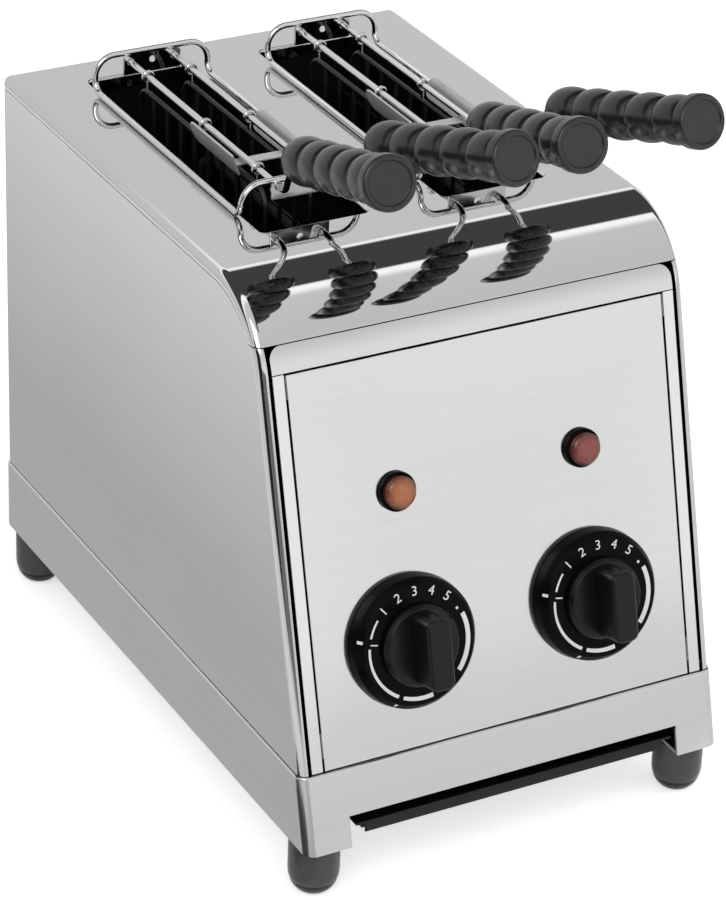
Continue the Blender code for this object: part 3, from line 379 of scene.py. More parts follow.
def base_surface():
    """Rounded rectangles stacked up the skirt, whose front edge follows the leaning plane.

    Round each one go the front left corner, the mouth's two edges, the front right corner and the
    two rear corners, then the first point again.
    """
    turn = quarter(9)
    fold = turn.size
    angles = np.concatenate((np.pi + turn, np.radians([270.0, 270.0]), 1.5 * np.pi + turn, turn,
                             0.5 * np.pi + turn, [np.pi]))
    sides = np.repeat([-1, 1, -1], [fold + 1, 2 * fold + 1, fold + 1])
    in_front = np.arange(angles.size) < 2 * fold + 2
    in_front[-1] = True
    fixed = np.full(angles.size, np.nan)
    fixed[fold:fold + 2] = (-MOUTH_HALF, MOUTH_HALF)
    over, down = rounded(BASE_TOP_ROUND, quarter(6))
    heights = np.concatenate(([BASE_LOW.z, MOUTH_TOP], BASE_HIGH.z - down, [BASE_HIGH.z]))[:, None]
    insets = np.concatenate(([0, 0], over, [BASE_LEDGE]))[:, None]
    radius = np.maximum(BASE_CORNER - insets, TIGHTEST_CORNER)
    middle_y = np.where(in_front, front_plane(heights, insets) + radius, BASE_HIGH.y - insets - radius)
    x = np.where(np.isnan(fixed), sides * (BASE_HIGH.x - insets - radius) + radius * np.cos(angles), fixed)
    grid = grid_of(x, middle_y + radius * np.sin(angles), heights)
    kept = np.ones((grid.shape[0] - 1, grid.shape[1] - 1), bool)
    kept[0, fold] = False
    return grid, kept


satin = metal("satin_steel", STEEL_SHADE, 0.17, grain=BRUSHED, relief=0.05, wear_and_highlight=0.3)
plain = metal("plain_steel", PLAIN_SHADE, 0.34, grain=(60.0, 60.0, 60.0), drift=0.06, rough_drift=0.08)
base = knit("base_skirt", [base_surface()], away_from=(0, 0, BASE_LOW.z))
seat(ease(base, SHEET), satin, "satin_steel", "base_band")


def finer(node, name, look, slot, bevel=SMALL_BEVEL, body="casing"):
    """A copy of a packed sheet part with its loose triangles merged and its edges eased."""
    mesh = nodes[node].data.copy()
    mesh.name = name
    work = bmesh.new()
    work.from_mesh(mesh)
    bmesh.ops.remove_doubles(work, verts=work.verts, dist=0.000002)
    bmesh.ops.dissolve_limit(work, angle_limit=math.radians(0.6), verts=work.verts, edges=work.edges)
    piece = shown(work, mesh, crease=35.0)
    return seat(ease(piece, bevel=bevel), look, slot, node, body=body)


def dress(node, look):
    """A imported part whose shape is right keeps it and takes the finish."""
    nodes[node].data.materials.clear()
    nodes[node].data.materials.append(look)


dress("bottom_plate", plain)

# The four feet: hard grey bullets screwed under the corners, each on a soft black sole that stands
# a little in from its edge.
FOOT_TIP = 0.0045
FOOT_DOME = 0.0115
FOOT_SOLE = 0.0068
FOOT_GROOVE = 0.0004
FOOT_GROOVE_WIDTH = 0.0005
FOOT_GREY = (0.050, 0.050, 0.052)
SOLE_BLACK = (0.004, 0.004, 0.004)
# Sharp edges of mouldings turn paler where pointiness runs over these values: partly wear, partly a painted
# highlight.
MOULDING_WEAR_AND_HIGHLIGHT_RANGE = (0.52, 0.64)
MOULDING_WEAR_AND_HIGHLIGHT_TINT = {"gain": 2.0, "lift": 0.03}
MOULD_ROUGH_DRIFT = 0.08
MOULD_RELIEF_DEPTH = 0.00006
COAT_ROUGHNESS = 0.12
# Painted shade in the hollows of mouldings: where pointiness runs down through these values, the colour turns
# towards black.
HOLLOW_SHADE_RANGE = (0.495, 0.44)
HOLLOW_SHADE_BLACK = (0.001, 0.001, 0.001)


def middle_of(node):
    """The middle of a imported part's box."""
    return [(near + far) / 2 for near, far in zip(*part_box(node))]


def moved(points, place):
    """Points of a piece's own frame, in the object's frame."""
    place = np.array(place)
    return np.asarray(points, float) @ place[:3, :3].T + place[:3, 3]


def turned(profile, place, steps=48):
    """A profile of radius and height carried round: x = r cos t, y = r sin t, then moved by place."""
    profile = np.asarray(profile, float)
    return moved(circled(profile[:, :1], np.linspace(0, 2 * np.pi, steps + 1), profile[:, 1:2]), place)


def mould(name, shade, roughness, second=None, split=None, speck=220.0, drift=0.008, relief=0.12,
          wear_and_highlight=0.25, coat=0.0, shine=0.5, hollow_shade=0.0, inlets=None, deepen=None):
    """A moulded plastic or rubber: fine speckle in shade, gloss and relief; sharp edges run paler, partly
    from wear and partly as a painted highlight.

    Painted shade darkens the hollows. Where a second shade is given, it fills the part below the height
    called split. A given deepen turns the shade by a rule of its own, last of all: the lenses' painted shade.
    """
    look, tree, end = new_look(name)
    where = add_node(tree, "TexCoord").outputs["Object"]
    noise = add_node(tree, "TexNoise", {"Vector": where, "Scale": speck, "Detail": 4.0}).outputs["Fac"]
    colour = blended(tree, noise, tint(shade, lift=-drift), tint(shade, lift=drift))
    # Paler sharp edges: partly wear, partly a painted highlight.
    if wear_and_highlight:
        colour = tinted_by_sharpness(tree, colour, MOULDING_WEAR_AND_HIGHLIGHT_RANGE, wear_and_highlight, tint(shade, **MOULDING_WEAR_AND_HIGHLIGHT_TINT))
    # Painted shade: the hollows turn towards black.
    if hollow_shade:
        colour = tinted_by_sharpness(tree, colour, HOLLOW_SHADE_RANGE, hollow_shade, tint(HOLLOW_SHADE_BLACK))
    if second:
        height = add_node(tree, "SeparateXYZ", {0: where}).outputs["Z"]
        colour = blended(tree, sums(tree, "LESS_THAN", height, split), colour, tint(second))
    if deepen:
        colour = deepen(tree, colour)
    rough = sums(tree, "MULTIPLY_ADD", noise, 2 * MOULD_ROUGH_DRIFT, roughness - MOULD_ROUGH_DRIFT)
    skin_over(tree, end, noise, relief, MOULD_RELIEF_DEPTH,
              {"Specular IOR Level": shine, "Coat Weight": coat, "Coat Roughness": COAT_ROUGHNESS,
               "Base Color": colour, "Roughness": rough, **(inlets or {})})
    return look


foot_rubber = mould("foot_rubber", FOOT_GREY, 0.22, second=SOLE_BLACK, split=FOOT_SOLE, coat=0.3, shine=0.3)
for corner in ("front_left", "front_right", "rear_left", "rear_right"):
    node = f"foot_{corner}"
    low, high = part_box(node)
    rim, top = (high.x - low.x) / 2, high.z
    swing = quarter(22)
    drop = low.z + FOOT_DOME * (1 - np.sin(swing))
    nose = (FOOT_TIP + (rim - FOOT_TIP) * np.cos(swing)
            - FOOT_GROOVE * np.exp(-((drop - FOOT_SOLE) / FOOT_GROOVE_WIDTH) ** 2))
    edge = [(0, top), (rim - 0.0008, top), (rim - 0.0002, top - 0.0003), (rim, top - 0.0010)]
    bullet = np.concatenate((edge, np.stack((nose, drop), axis=-1), [(0, low.z)]))
    foot = knit(f"bullet_{node}", [turned(bullet, Matrix.Translation((*middle_of(node)[:2], 0)))])
    seat(foot, foot_rubber, "rubber", node)

# The crumb tray: a shallow steel pan with side flanges, which draws out of the base's mouth by the
# lip along its front.
LIP_HALF = 0.079
LIP_FOOT = 0.0003
SOOTY = {"grain": (90.0, 90.0, 90.0), "rough_drift": 0.12, "relief": 0.15, "relief_depth": 0.00005}


def unit(rows):
    """Each row scaled to length one."""
    return rows / np.linalg.norm(rows, axis=-1, keepdims=True)


def bent(corners, radii, steps=8, closed=False):
    """A path with its corners turned into arcs.

    With unit legs p and q at a corner and half the angle h between them, the arc's centre lies
    r / sin h along p + q, and its points swing evenly from one touching point to the other.
    """
    corners = np.asarray(corners, float)
    radii = np.broadcast_to(np.asarray(radii, float), len(corners))[:, None]
    before = unit(np.roll(corners, 1, axis=0) - corners)
    after = unit(np.roll(corners, -1, axis=0) - corners)
    half = np.arccos(np.clip(np.sum(before * after, axis=1), -1, 1))[:, None] / 2
    centre = corners + unit(before + after) * radii / np.sin(half)
    start = corners + before * radii / np.tan(half) - centre
    end = corners + after * radii / np.tan(half) - centre
    sweep = (np.pi - 2 * half)[:, None]
    share = np.linspace(0, 1, steps + 1)[None, :, None]
    arcs = centre[:, None] + (start[:, None] * np.sin((1 - share) * sweep)
                              + end[:, None] * np.sin(share * sweep)) / np.sin(sweep)
    if closed:
        return arcs.reshape(-1, corners.shape[1])
    inner = arcs[1:-1].reshape(-1, corners.shape[1])
    return np.concatenate((corners[:1], inner, corners[-1:]))


def drawn_out(section, half):
    """A closed section of y and z, drawn out along x to both sides and closed at its ends."""
    section = np.concatenate((section, section[:1]))
    middle = np.broadcast_to(section[:-1].mean(axis=0), section.shape)
    rows = ((-half, middle), (-half, section), (half, section), (half, middle))
    return np.stack([np.column_stack((np.full(len(section), x), loop)) for x, loop in rows])


burnt = metal("burnt_steel", (0.055, 0.052, 0.050), 0.42, drift=0.02, wear_and_highlight=0.35, **SOOTY)
# The tray's near-black shade is partly the pan's own dark tone and partly painted shade for the lip's face in
# the mouth; its paler edges are partly wear and partly a painted highlight along the lip's top edge.
tray_painted_shade = metal("dark_tray_painted_shade", (0.018, 0.017, 0.017), 0.45, drift=0.008, wear_and_highlight=0.6, **SOOTY)
finer("crumb_tray", "crumb_pan", tray_painted_shade, "burnt_steel", body="tray")
tray_low, tray_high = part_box("crumb_tray")
lip_foot, lip_back = tray_low.z + LIP_FOOT, tray_low.y + SHEET
lip_section = bent([(tray_low.y, lip_foot), (tray_low.y, tray_high.z), (lip_back, tray_high.z),
                    (lip_back, lip_foot)], [0.0003, 0.0009, 0.0002, 0.0002], 5, closed=True)
lip = knit("tray_lip", [drawn_out(lip_section, LIP_HALF)], crease=30.0)
seat(lip, tray_painted_shade, "burnt_steel", body="tray")

# The heat chamber: two bulkheads carry two open heat boxes, one round each slot. A tube element
# runs to and fro on each long wall, behind a wire guard that keeps the bread off it.
ELEMENT_RADIUS = 0.0032
ELEMENT_ROWS = 4
ELEMENT_BEND = 0.0245
GUARD_WIRE = 0.0010
GUARD_WIRES = 7
GUARD_RAIL = 0.012
END_ROOM = 0.012
ACROSS = (1, 0, 0)
SIDES = (("left", -1), ("right", 1))
FINE_MERGE = 0.000001


def wire(path, radius, across=ACROSS, closed=False, sides=10):
    """A circle of the wire's radius carried along a path, set square to it from the across direction.

    An open wire's ends are eased and closed: its first and last circles shrink to a point.
    """
    path = np.asarray(path, float)
    step = np.linalg.norm(path - np.roll(path, 1, axis=0), axis=1)
    path = path[(step > 1e-7) | (np.arange(len(path)) == 0)]
    run = np.roll(path, -1, axis=0) - np.roll(path, 1, axis=0) if closed else np.gradient(path, axis=0)
    run = unit(run)
    thick = np.full((len(path), 1), radius)
    if closed:
        path, run, thick = (np.concatenate((rows, rows[:1])) for rows in (path, run, thick))
    else:
        ease_in = run[:1] * radius * 0.3
        ease_out = run[-1:] * radius * 0.3
        path = np.concatenate((path[:1], path[:1], path[:1] + ease_in, path[1:-1], path[-1:] - ease_out,
                               path[-1:], path[-1:]))
        run = np.concatenate((run[:1], run[:1], run, run[-1:], run[-1:]))
        thick = np.concatenate(([[0.0], [0.7 * radius]], thick, [[0.7 * radius], [0.0]]))
    across = np.asarray(across, float)
    first = unit(across - (run @ across)[:, None] * run)
    second = np.cross(run, first)
    turn = np.linspace(0, 2 * np.pi, sides + 1)[None, :, None]
    return path[:, None] + thick[:, None] * (np.cos(turn) * first[:, None] + np.sin(turn) * second[:, None])


sheath = mould("element_sheath", (0.05, 0.042, 0.038), 0.55, drift=0.02, relief=0.3, wear_and_highlight=0.5)
aluminised = metal("aluminised_steel", (0.10, 0.10, 0.10), 0.38, grain=(50.0, 50.0, 50.0), drift=0.03,
                   rough_drift=0.08)
for node in ("front_bulkhead", "rear_bulkhead", "left_heat_box", "right_heat_box"):
    dress(node, aluminised)
dress("terminal_block", mould("glazed_ceramic", (0.70, 0.68, 0.63), 0.25, drift=0.03, coat=0.6))
for slot_name in ("left", "right"):
    chamber_low, chamber_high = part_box(f"{slot_name}_heat_box")
    near, far = chamber_low.y + END_ROOM, chamber_high.y - END_ROOM
    for side_name, side in SIDES:
        node = f"{slot_name}_slot_{side_name}_element"
        low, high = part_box(node)
        x = middle_of(node)[0]
        rows = np.linspace(low.z + ELEMENT_RADIUS, high.z - ELEMENT_RADIUS, ELEMENT_ROWS)
        corners = [(x, low.y, rows[0])]
        for row in range(ELEMENT_ROWS - 1):
            turn_y = far if row % 2 == 0 else near
            corners += [(x, turn_y, rows[row]), (x, turn_y, rows[row + 1])]
        corners.append((x, low.y, rows[-1]))
        tube = wire(bent(corners, ELEMENT_BEND, 10), ELEMENT_RADIUS, sides=14)
        seat(knit(f"{node}_tube", [tube]), sheath, "element_sheath", node)

        node = f"{slot_name}_slot_{side_name}_guard"
        low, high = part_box(node)
        inner, outer = low.x + GUARD_WIRE, high.x - GUARD_WIRE
        x, rail_x = (inner, outer) if side > 0 else (outer, inner)
        wires = [wire([(x, y, low.z), (x, y, high.z)], GUARD_WIRE)
                 for y in np.linspace(near, far, GUARD_WIRES)]
        wires += [wire([(rail_x, low.y, z), (rail_x, high.y, z)], GUARD_WIRE)
                  for z in (low.z + GUARD_RAIL, high.z - GUARD_RAIL)]
        seat(knit(f"{node}_wires", wires, merge=FINE_MERGE), burnt, "burnt_steel", node)

# The side panels: satin steel plates with both upright edges folded through a right angle, slid up
# under the cover's folded edge and screwed to the base.
COVER_LOW, COVER_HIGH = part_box("top_cover")
TOP = COVER_HIGH.z
BODY_HALF = COVER_HIGH.x
BODY_REAR = COVER_HIGH.y
BODY_PROUD = 0.001
COVER_FRONT = COVER_LOW.z
SIDE_FOLD = 0.0045
BIG_ROUND = 0.047
COVER_FLANGE = 0.005
PANEL_GAP = 0.0004
ROUND_Z = TOP - BIG_ROUND
ROUND_Y = front_plane(ROUND_Z, BODY_PROUD + BIG_ROUND)
RETURN_ANGLE = math.radians(86.0)


def skin_y(height, inset):
    """Y of the front skin: the leaning plane, or above it the big arc of radius R less the inset."""
    radius = BIG_ROUND - inset
    rise = height - ROUND_Z
    on_arc = ROUND_Y - np.sqrt(np.maximum(radius ** 2 - rise ** 2, 0))
    return np.where(rise < radius * math.sin(LEAN), front_plane(height, BODY_PROUD + inset), on_arc)


def side_surface(side):
    """Level sections of the panel: rear fold, flat side and front fold, at each height.

    On a fold of radius r at angle t the skin stands r (1 - cos t) in from the side and r (1 - sin t)
    in from the front or rear. Above the cover's front edge only the flat goes on, along the arc
    that lies inside the cover's flange.
    """
    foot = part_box("right_side_panel")[0].z
    turn = np.linspace(0, RETURN_ANGLE, 12)
    over, inset = rounded(SIDE_FOLD, turn)
    flange_radius = BIG_ROUND - COVER_FLANGE - PANEL_GAP
    split = COVER_FRONT - PANEL_GAP
    top_angle = math.acos((split - ROUND_Z) / flange_radius)
    upper = ROUND_Z + flange_radius * np.cos(np.linspace(top_angle, 0, 14)) + 0.00001
    knee = ROUND_Z + BIG_ROUND * math.sin(LEAN)
    lower = np.concatenate((np.linspace(foot, knee - 0.002, 5), np.linspace(knee, split, 12)))
    heights = np.concatenate((lower, upper))[:, None]
    rear_y = BODY_REAR - inset[None, ::-1] + 0 * heights
    front_y = skin_y(heights, np.where(heights <= split, inset[None, :], COVER_FLANGE + PANEL_GAP))
    share = np.linspace(0, 1, 8)[None, 1:-1]
    flat_y = rear_y[:, -1:] * (1 - share) + front_y[:, :1] * share
    x = side * (BODY_HALF - np.concatenate((over[::-1], np.zeros(share.size), over)))
    grid = grid_of(x, np.concatenate((rear_y, flat_y, front_y), axis=1), heights)
    kept = np.ones((grid.shape[0] - 1, grid.shape[1] - 1), bool)
    kept[len(lower) - 1:, -(turn.size - 1):] = False
    return grid, kept


side_satin = metal("side_satin_steel", STEEL_SHADE, 0.10, grain=(9.0, 7.0, 380.0), relief=0.04, wear_and_highlight=0.3)
for side_name, side in SIDES:
    panel = knit(f"{side_name}_side_sheet", [side_surface(side)], away_from=(0, 0, ROUND_Z / 2))
    seat(ease(panel, SHEET), side_satin, "satin_steel", f"{side_name}_side_panel")

# The rear panel: a flat satin sheet with a row of upright vents and the cable's hole, held by four
# small screws. The black nylon gland clamps the cable where it enters.
SCREW_RADIUS = 0.0034
SCREW_RISE = 0.0016
SCREW_EDGE = 0.0003
SCREW_SLOT = 0.0009
SCREW_SLOT_DEPTH = 0.0010
SCREW_INSET = (0.0085, 0.0095)
GLAND_BORE = 0.0045
GLAND_MOUTH = 0.0081
GLAND_RIM = 0.0105
GLAND_NECK = 0.0078


def screw_head(middle):
    """A domed head that faces the rear: height = rise (1 - (r/R)^2.4), less a cross of two slots."""
    turn = np.linspace(0, 2 * np.pi, 65)[None, :]
    share = np.concatenate((np.linspace(0, 0.9, 19), [0.96, 1.0, 1.0]))[:, None]
    a = SCREW_RADIUS * share * np.cos(turn)
    b = SCREW_RADIUS * share * np.sin(turn)
    in_slot = (np.minimum(np.abs(a), np.abs(b)) < SCREW_SLOT / 2) & (share < 0.62)
    height = SCREW_EDGE + SCREW_RISE * (1 - share ** 2.4) - np.where(in_slot, SCREW_SLOT_DEPTH, 0)
    height[-1] = -0.0001
    return np.array(middle) + grid_of(-a, height, b)


finer("rear_panel", "rear_sheet", side_satin, "satin_steel")
rear_low, rear_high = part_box("rear_panel")
rear_screws = [screw_head((x, rear_high.y, z))
               for x in (rear_low.x + SCREW_INSET[0], rear_high.x - SCREW_INSET[0])
               for z in (rear_low.z + SCREW_INSET[1], rear_high.z - SCREW_INSET[1])]
zinc = metal("bright_screws", (0.55, 0.55, 0.54), 0.2, wear_and_highlight=0.4)
seat(knit("rear_screws", rear_screws, merge=FINE_MERGE), zinc, "plain_steel")
nylon = mould("black_nylon", (0.016, 0.016, 0.017), 0.42)
gland_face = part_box("cable_gland")[1].y - BODY_REAR
gland_profile = bent([(0, gland_face - 0.006), (GLAND_BORE, gland_face - 0.006), (GLAND_BORE, gland_face),
                      (GLAND_MOUTH, gland_face), (GLAND_RIM, gland_face - 0.0024), (GLAND_RIM, 0.0003),
                      (GLAND_NECK, 0.0003), (GLAND_NECK, -0.0015), (GLAND_RIM, -0.0015), (GLAND_RIM, -0.0075),
                      (0, -0.0075)],
                     [0, 0.0004, 0.0006, 0.0012, 0.0012, 0.0003, 0, 0, 0.0003, 0.0003, 0], 4)
gland_at = Matrix.Translation((0, BODY_REAR, middle_of("cable_gland")[2]))
gland_at @= Matrix.Rotation(-math.pi / 2, 4, "X")
gland = knit("clamp_gland", [turned(gland_profile, gland_at)])
seat(gland, nylon, "nylon", "cable_gland")

# The front: a steel frame whose two narrow strips border the leaning panel, the panel itself with
# the controls on it, and over it a polished trim band with rounded upper corners.
TRIM_LOW, TRIM_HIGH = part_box("front_trim")
TRIM_CORNER = 0.006
# The strips' shade is the front satin made lighter: a painted highlight.
STRIP_HIGHLIGHT_SHADE = (0.67, 0.67, 0.665)
MIRROR_SHADE = (0.63, 0.63, 0.625)
PANEL_EASE = 0.0006
front_satin = metal("front_satin_steel", STEEL_SHADE, 0.13, grain=BRUSHED, relief=0.04, wear_and_highlight=0.25)
# The strips' steel: the front satin with a lighter shade, as a painted highlight.
strip_highlight_satin = metal("strip_highlight_satin_steel", STRIP_HIGHLIGHT_SHADE, 0.13, grain=BRUSHED, relief=0.04, wear_and_highlight=0.25)
mirror = metal("mirror_steel", MIRROR_SHADE, 0.035, grain=(18.0, 5.0, 18.0), drift=0.02,
               rough_drift=0.015, relief=0.01, wear_and_highlight=0.2)


def places_in(mesh):
    """The mesh's points as an array."""
    places = np.empty(3 * len(mesh.vertices), np.float32)
    mesh.vertices.foreach_get("co", places)
    return places.reshape(-1, 3)


finer("front_frame", "front_strips", strip_highlight_satin, "satin_steel")
control_sheet = finer("front_panel", "control_sheet", front_satin, "satin_steel", bevel=0.0005)
panel_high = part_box("front_panel")[1]
sheet_points = places_in(control_sheet.data)
beside = np.abs(sheet_points[:, 0]) > panel_high.x - PANEL_EASE
along_top = sheet_points[:, 2] > panel_high.z - PANEL_EASE
sheet_points[beside, 0] -= np.copysign(PANEL_EASE, sheet_points[beside, 0])
sheet_points[along_top] -= np.array((0, math.sin(LEAN), math.cos(LEAN)), np.float32) * PANEL_EASE
control_sheet.data.vertices.foreach_set("co", sheet_points.ravel())
control_sheet.data.update()


def trim_surface():
    """A strip of the front skin; near the top its half width follows the rounded corner's circle."""
    heights = (TRIM_LOW.z + (TRIM_HIGH.z - TRIM_LOW.z) * np.sin(quarter(16)))[:, None]
    into = np.maximum(TRIM_CORNER - (TRIM_HIGH.z - heights) / math.cos(LEAN), 0)
    half = TRIM_HIGH.x - TRIM_CORNER + np.sqrt(np.maximum(TRIM_CORNER ** 2 - into ** 2, 0))
    return grid_of(half * np.linspace(-1, 1, 25), skin_y(heights, 0.0), heights)


trim = knit("trim_strip", [trim_surface()], away_from=(0, 0, 0.15))
seat(ease(trim, SHEET), mirror, "mirror_steel", "front_trim")

# The top cover: one sheet of mirror steel, folded down at the sides and the back, rolled over the
# front, with a long slot over each heat box whose edge is drawn down into a lip.
SLOT_CENTRES = tuple(middle_of(f"{name}_heat_box")[0] for name in ("left", "right"))
SLOT_HALF = 0.027
SLOT_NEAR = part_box("left_heat_box")[0].y + 0.0065
SLOT_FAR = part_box("left_heat_box")[1].y - 0.0065
SLOT_CORNER = 0.0024
SLOT_BEND = 0.0014
SLOT_ROUND = SLOT_CORNER + SLOT_BEND
SLOT_LIP = 0.0066
REAR_FOLD = 0.0016
CORNER_STEPS = 4


def corner_lines():
    """Where the sheet's lines cross a slot's round corner: R tan t from the corner's centre."""
    return SLOT_ROUND * np.tan(np.radians(np.linspace(0, 45, CORNER_STEPS + 1)))


def cover_columns():
    """Where each column lies across, and how deep its fold has sunk it below the skin."""
    over, fold_inset = rounded(SIDE_FOLD, quarter(12))
    fold_x = BODY_HALF - over
    spread = SLOT_HALF + SLOT_BEND - SLOT_ROUND + corner_lines()
    lines = np.sort(np.concatenate([centre + side * spread for centre in SLOT_CENTRES for side in (-1, 1)]))
    x = np.concatenate(([-BODY_HALF], -fold_x, lines, fold_x[::-1], [BODY_HALF]))
    inset = np.concatenate(([COVER_FLANGE], fold_inset, 0 * lines, fold_inset[::-1], [COVER_FLANGE]))
    return x, inset


def cover_surface():
    """The cover's outline from the rear flange over the flat top and down the big arc, for each column."""
    x, inset = cover_columns()
    turn = quarter(7)[::-1, None]
    sunk = np.maximum(REAR_FOLD, inset)
    left = np.maximum(REAR_FOLD - inset, 0)
    spread = corner_lines()
    lines = np.sort(np.concatenate((SLOT_FAR + SLOT_BEND - SLOT_ROUND + spread,
                                    SLOT_NEAR - SLOT_BEND + SLOT_ROUND - spread)))[::-1, None]
    radius = BIG_ROUND - inset
    last = np.arccos(np.clip((COVER_FRONT - ROUND_Z) / radius, -1, 1))
    share = np.linspace(0, 1, 33)[:, None]
    y = np.concatenate(((BODY_REAR - inset)[None], BODY_REAR - sunk + left * np.sin(turn), lines + 0 * inset,
                        ROUND_Y - radius * np.sin(share * last)))
    z = np.concatenate(((TOP - COVER_FLANGE + 0 * inset)[None], TOP - sunk + left * np.cos(turn),
                        TOP - inset + 0 * lines, ROUND_Z + radius * np.cos(share * last)))
    mid_x = (x[1:] + x[:-1])[None, :] / 2
    mid_y = (y[1:, x.size // 2] + y[:-1, x.size // 2])[:, None] / 2
    in_slot = np.zeros((y.shape[0] - 1, x.size - 1), bool)
    for centre in SLOT_CENTRES:
        in_slot |= ((np.abs(mid_x - centre) < SLOT_HALF + SLOT_BEND)
                    & (mid_y < SLOT_FAR + SLOT_BEND) & (mid_y > SLOT_NEAR - SLOT_BEND))
    return grid_of(x, y, z), ~in_slot


def four_corners(steps):
    """Angles round the four corners of a rectangle, and the two signs of each corner."""
    turn = quarter(steps)
    angles = np.concatenate([turn + count * np.pi / 2 for count in range(4)])
    return angles, np.repeat([1, -1, -1, 1], steps), np.repeat([1, 1, -1, -1], steps)


def slot_patches(centre):
    """The slot's lip, carried round a rounded rectangle, and the four corner pieces of flat round it.

    The lip's section bends through a quarter circle and runs straight down. Each corner piece runs
    from the round corner out to the square one: direction / max(|cos|, |sin|).
    """
    each = 2 * CORNER_STEPS + 1
    angles, sign_x, sign_y = four_corners(each)
    middle_y, half_y = (SLOT_FAR + SLOT_NEAR) / 2, (SLOT_FAR - SLOT_NEAR) / 2
    core_x = centre + sign_x * (SLOT_HALF - SLOT_CORNER)
    core_y = middle_y + sign_y * (half_y - SLOT_CORNER)
    bend = quarter(7)
    reach = SLOT_ROUND - np.concatenate((SLOT_BEND * np.sin(bend), [SLOT_BEND]))[:, None]
    down = np.concatenate((SLOT_BEND * (1 - np.cos(bend)), [SLOT_LIP]))[:, None]
    ring = circled(reach, angles, TOP - down, core_x, core_y)
    ring = np.concatenate((ring, ring[:, :1]), axis=1)
    square = 1 / np.maximum(np.abs(np.cos(angles)), np.abs(np.sin(angles)))
    flats = circled(SLOT_ROUND * np.stack((np.ones_like(square), square)), angles, TOP, core_x, core_y)
    return [ring] + [flats[:, corner * each:(corner + 1) * each] for corner in range(4)]


cover_parts = [cover_surface()]
for slot_centre in SLOT_CENTRES:
    cover_parts += slot_patches(slot_centre)
cover = knit("polished_cover", cover_parts, away_from=(0, 0, TOP - 0.05))
seat(ease(cover, SHEET), mirror, "mirror_steel", "top_cover")

# The timers behind the panel, their dials in front of it and the knobs on their shafts. The dials
# are thick black mouldings with pale printed marks; each knob is a skirt with a tall grip across it.
DIAL_FACE = 0.0088
DIAL_FACE_RADIUS = 0.0282
DIAL_DROP = 0.0044
MARK_RADIUS = 0.0251
MARK_RISE = 0.00012
MARK_SECTION = np.array(((-1, -0.5), (1, -0.5), (1, 1), (-1, 1), (-1, -0.5)))
MARK_ARCS = ((141, 161, 0.0009, 0.0010), (172, 240, 0.0011, 0.0016), (246, 281, 0.0017, 0.0021),
             (-41, 23, 0.0024, 0.0022))
MARK_TICKS = ((166, (0.0287, 0.0083), (0.0304, 0.0061), 0.0014),
              (167.8, (0.0212, DIAL_FACE), (0.0248, DIAL_FACE), 0.0006),
              (242, (0.0287, 0.0083), (0.0300, 0.0066), 0.0012),
              (31.5, (0.0236, DIAL_FACE), (0.0248, DIAL_FACE), 0.0012))
NUMERALS = (("1", 130), ("2", 110), ("3", 90), ("4", 70), ("5", 50))
NUMERAL_SIZE = 0.0064
FIN_LENGTH = 0.034
FIN_WIDTH = 0.013
FIN_FOOT = 0.0110
FIN_TOP = 0.0300
FIN_CORNER = 0.0040
FIN_ROUND = 0.0016
FIN_DRAFT = 0.0004
KNOB_SEAT = 0.0091
SKIRT_TOP = 0.0135


def on_front(node, drop):
    """A frame on the leaning panel at a part, a little lower down: X right, Y up the slope, Z out."""
    x, _, height = middle_of(node)
    height -= drop * math.sin(LEAN)
    place = Matrix.Translation(Vector((x, front_plane(height, BODY_PROUD), height)))
    return place @ Matrix.Rotation(math.pi / 2 - LEAN, 4, "X")


def printed_band(line, across, cap_rise):
    """A thin raised band: a flat section of half width across, carried along a line and closed."""
    grid = line[:, None] + across[:, None] * MARK_SECTION[:, :1] + MARK_SECTION[:, 1:] * (0, 0, MARK_RISE)
    ends = np.repeat((line[[0, -1]] + (0, 0, cap_rise))[:, None], len(MARK_SECTION), axis=1)
    return np.concatenate((ends[:1], grid, ends[1:]))


def printed_arc(first, last, start_width, end_width):
    """A band along the mark circle; its width grows evenly from one end to the other."""
    out = circled(1, np.radians(np.linspace(first, last, 40)), 0)
    width = np.linspace(start_width, end_width, 40)[:, None]
    return printed_band(MARK_RADIUS * out + (0, 0, DIAL_FACE), out * width / 2, MARK_RISE / 4)


def printed_tick(angle, inner, outer, width):
    """A short radial bar between two points of radius and height on the dial's profile."""
    cos, sin = math.cos(math.radians(angle)), math.sin(math.radians(angle))
    radius, height = np.linspace(inner, outer, 6).T
    line = grid_of(radius * cos, radius * sin, height)
    return printed_band(line, 0 * line + np.array((-sin, cos, 0)) * width / 2, 0.0)


def numeral(text, angle, place):
    """One printed number as a thin mesh, upright, with its middle on the mark circle at an angle."""
    letters = bpy.data.curves.new("numeral", "FONT")
    letters.body = text
    letters.size = NUMERAL_SIZE
    letters.align_x = letters.align_y = "CENTER"
    letters.extrude = MARK_RISE
    holder = stood("numeral", letters)
    mesh = bpy.data.meshes.new_from_object(holder.evaluated_get(bpy.context.evaluated_depsgraph_get()))
    bpy.data.objects.remove(holder)
    turn = math.radians(angle)
    spot = Matrix.Translation((MARK_RADIUS * math.cos(turn), MARK_RADIUS * math.sin(turn), DIAL_FACE))
    mesh.transform(place @ spot @ Matrix.Rotation(turn - math.pi / 2, 4, "Z"))
    return mesh


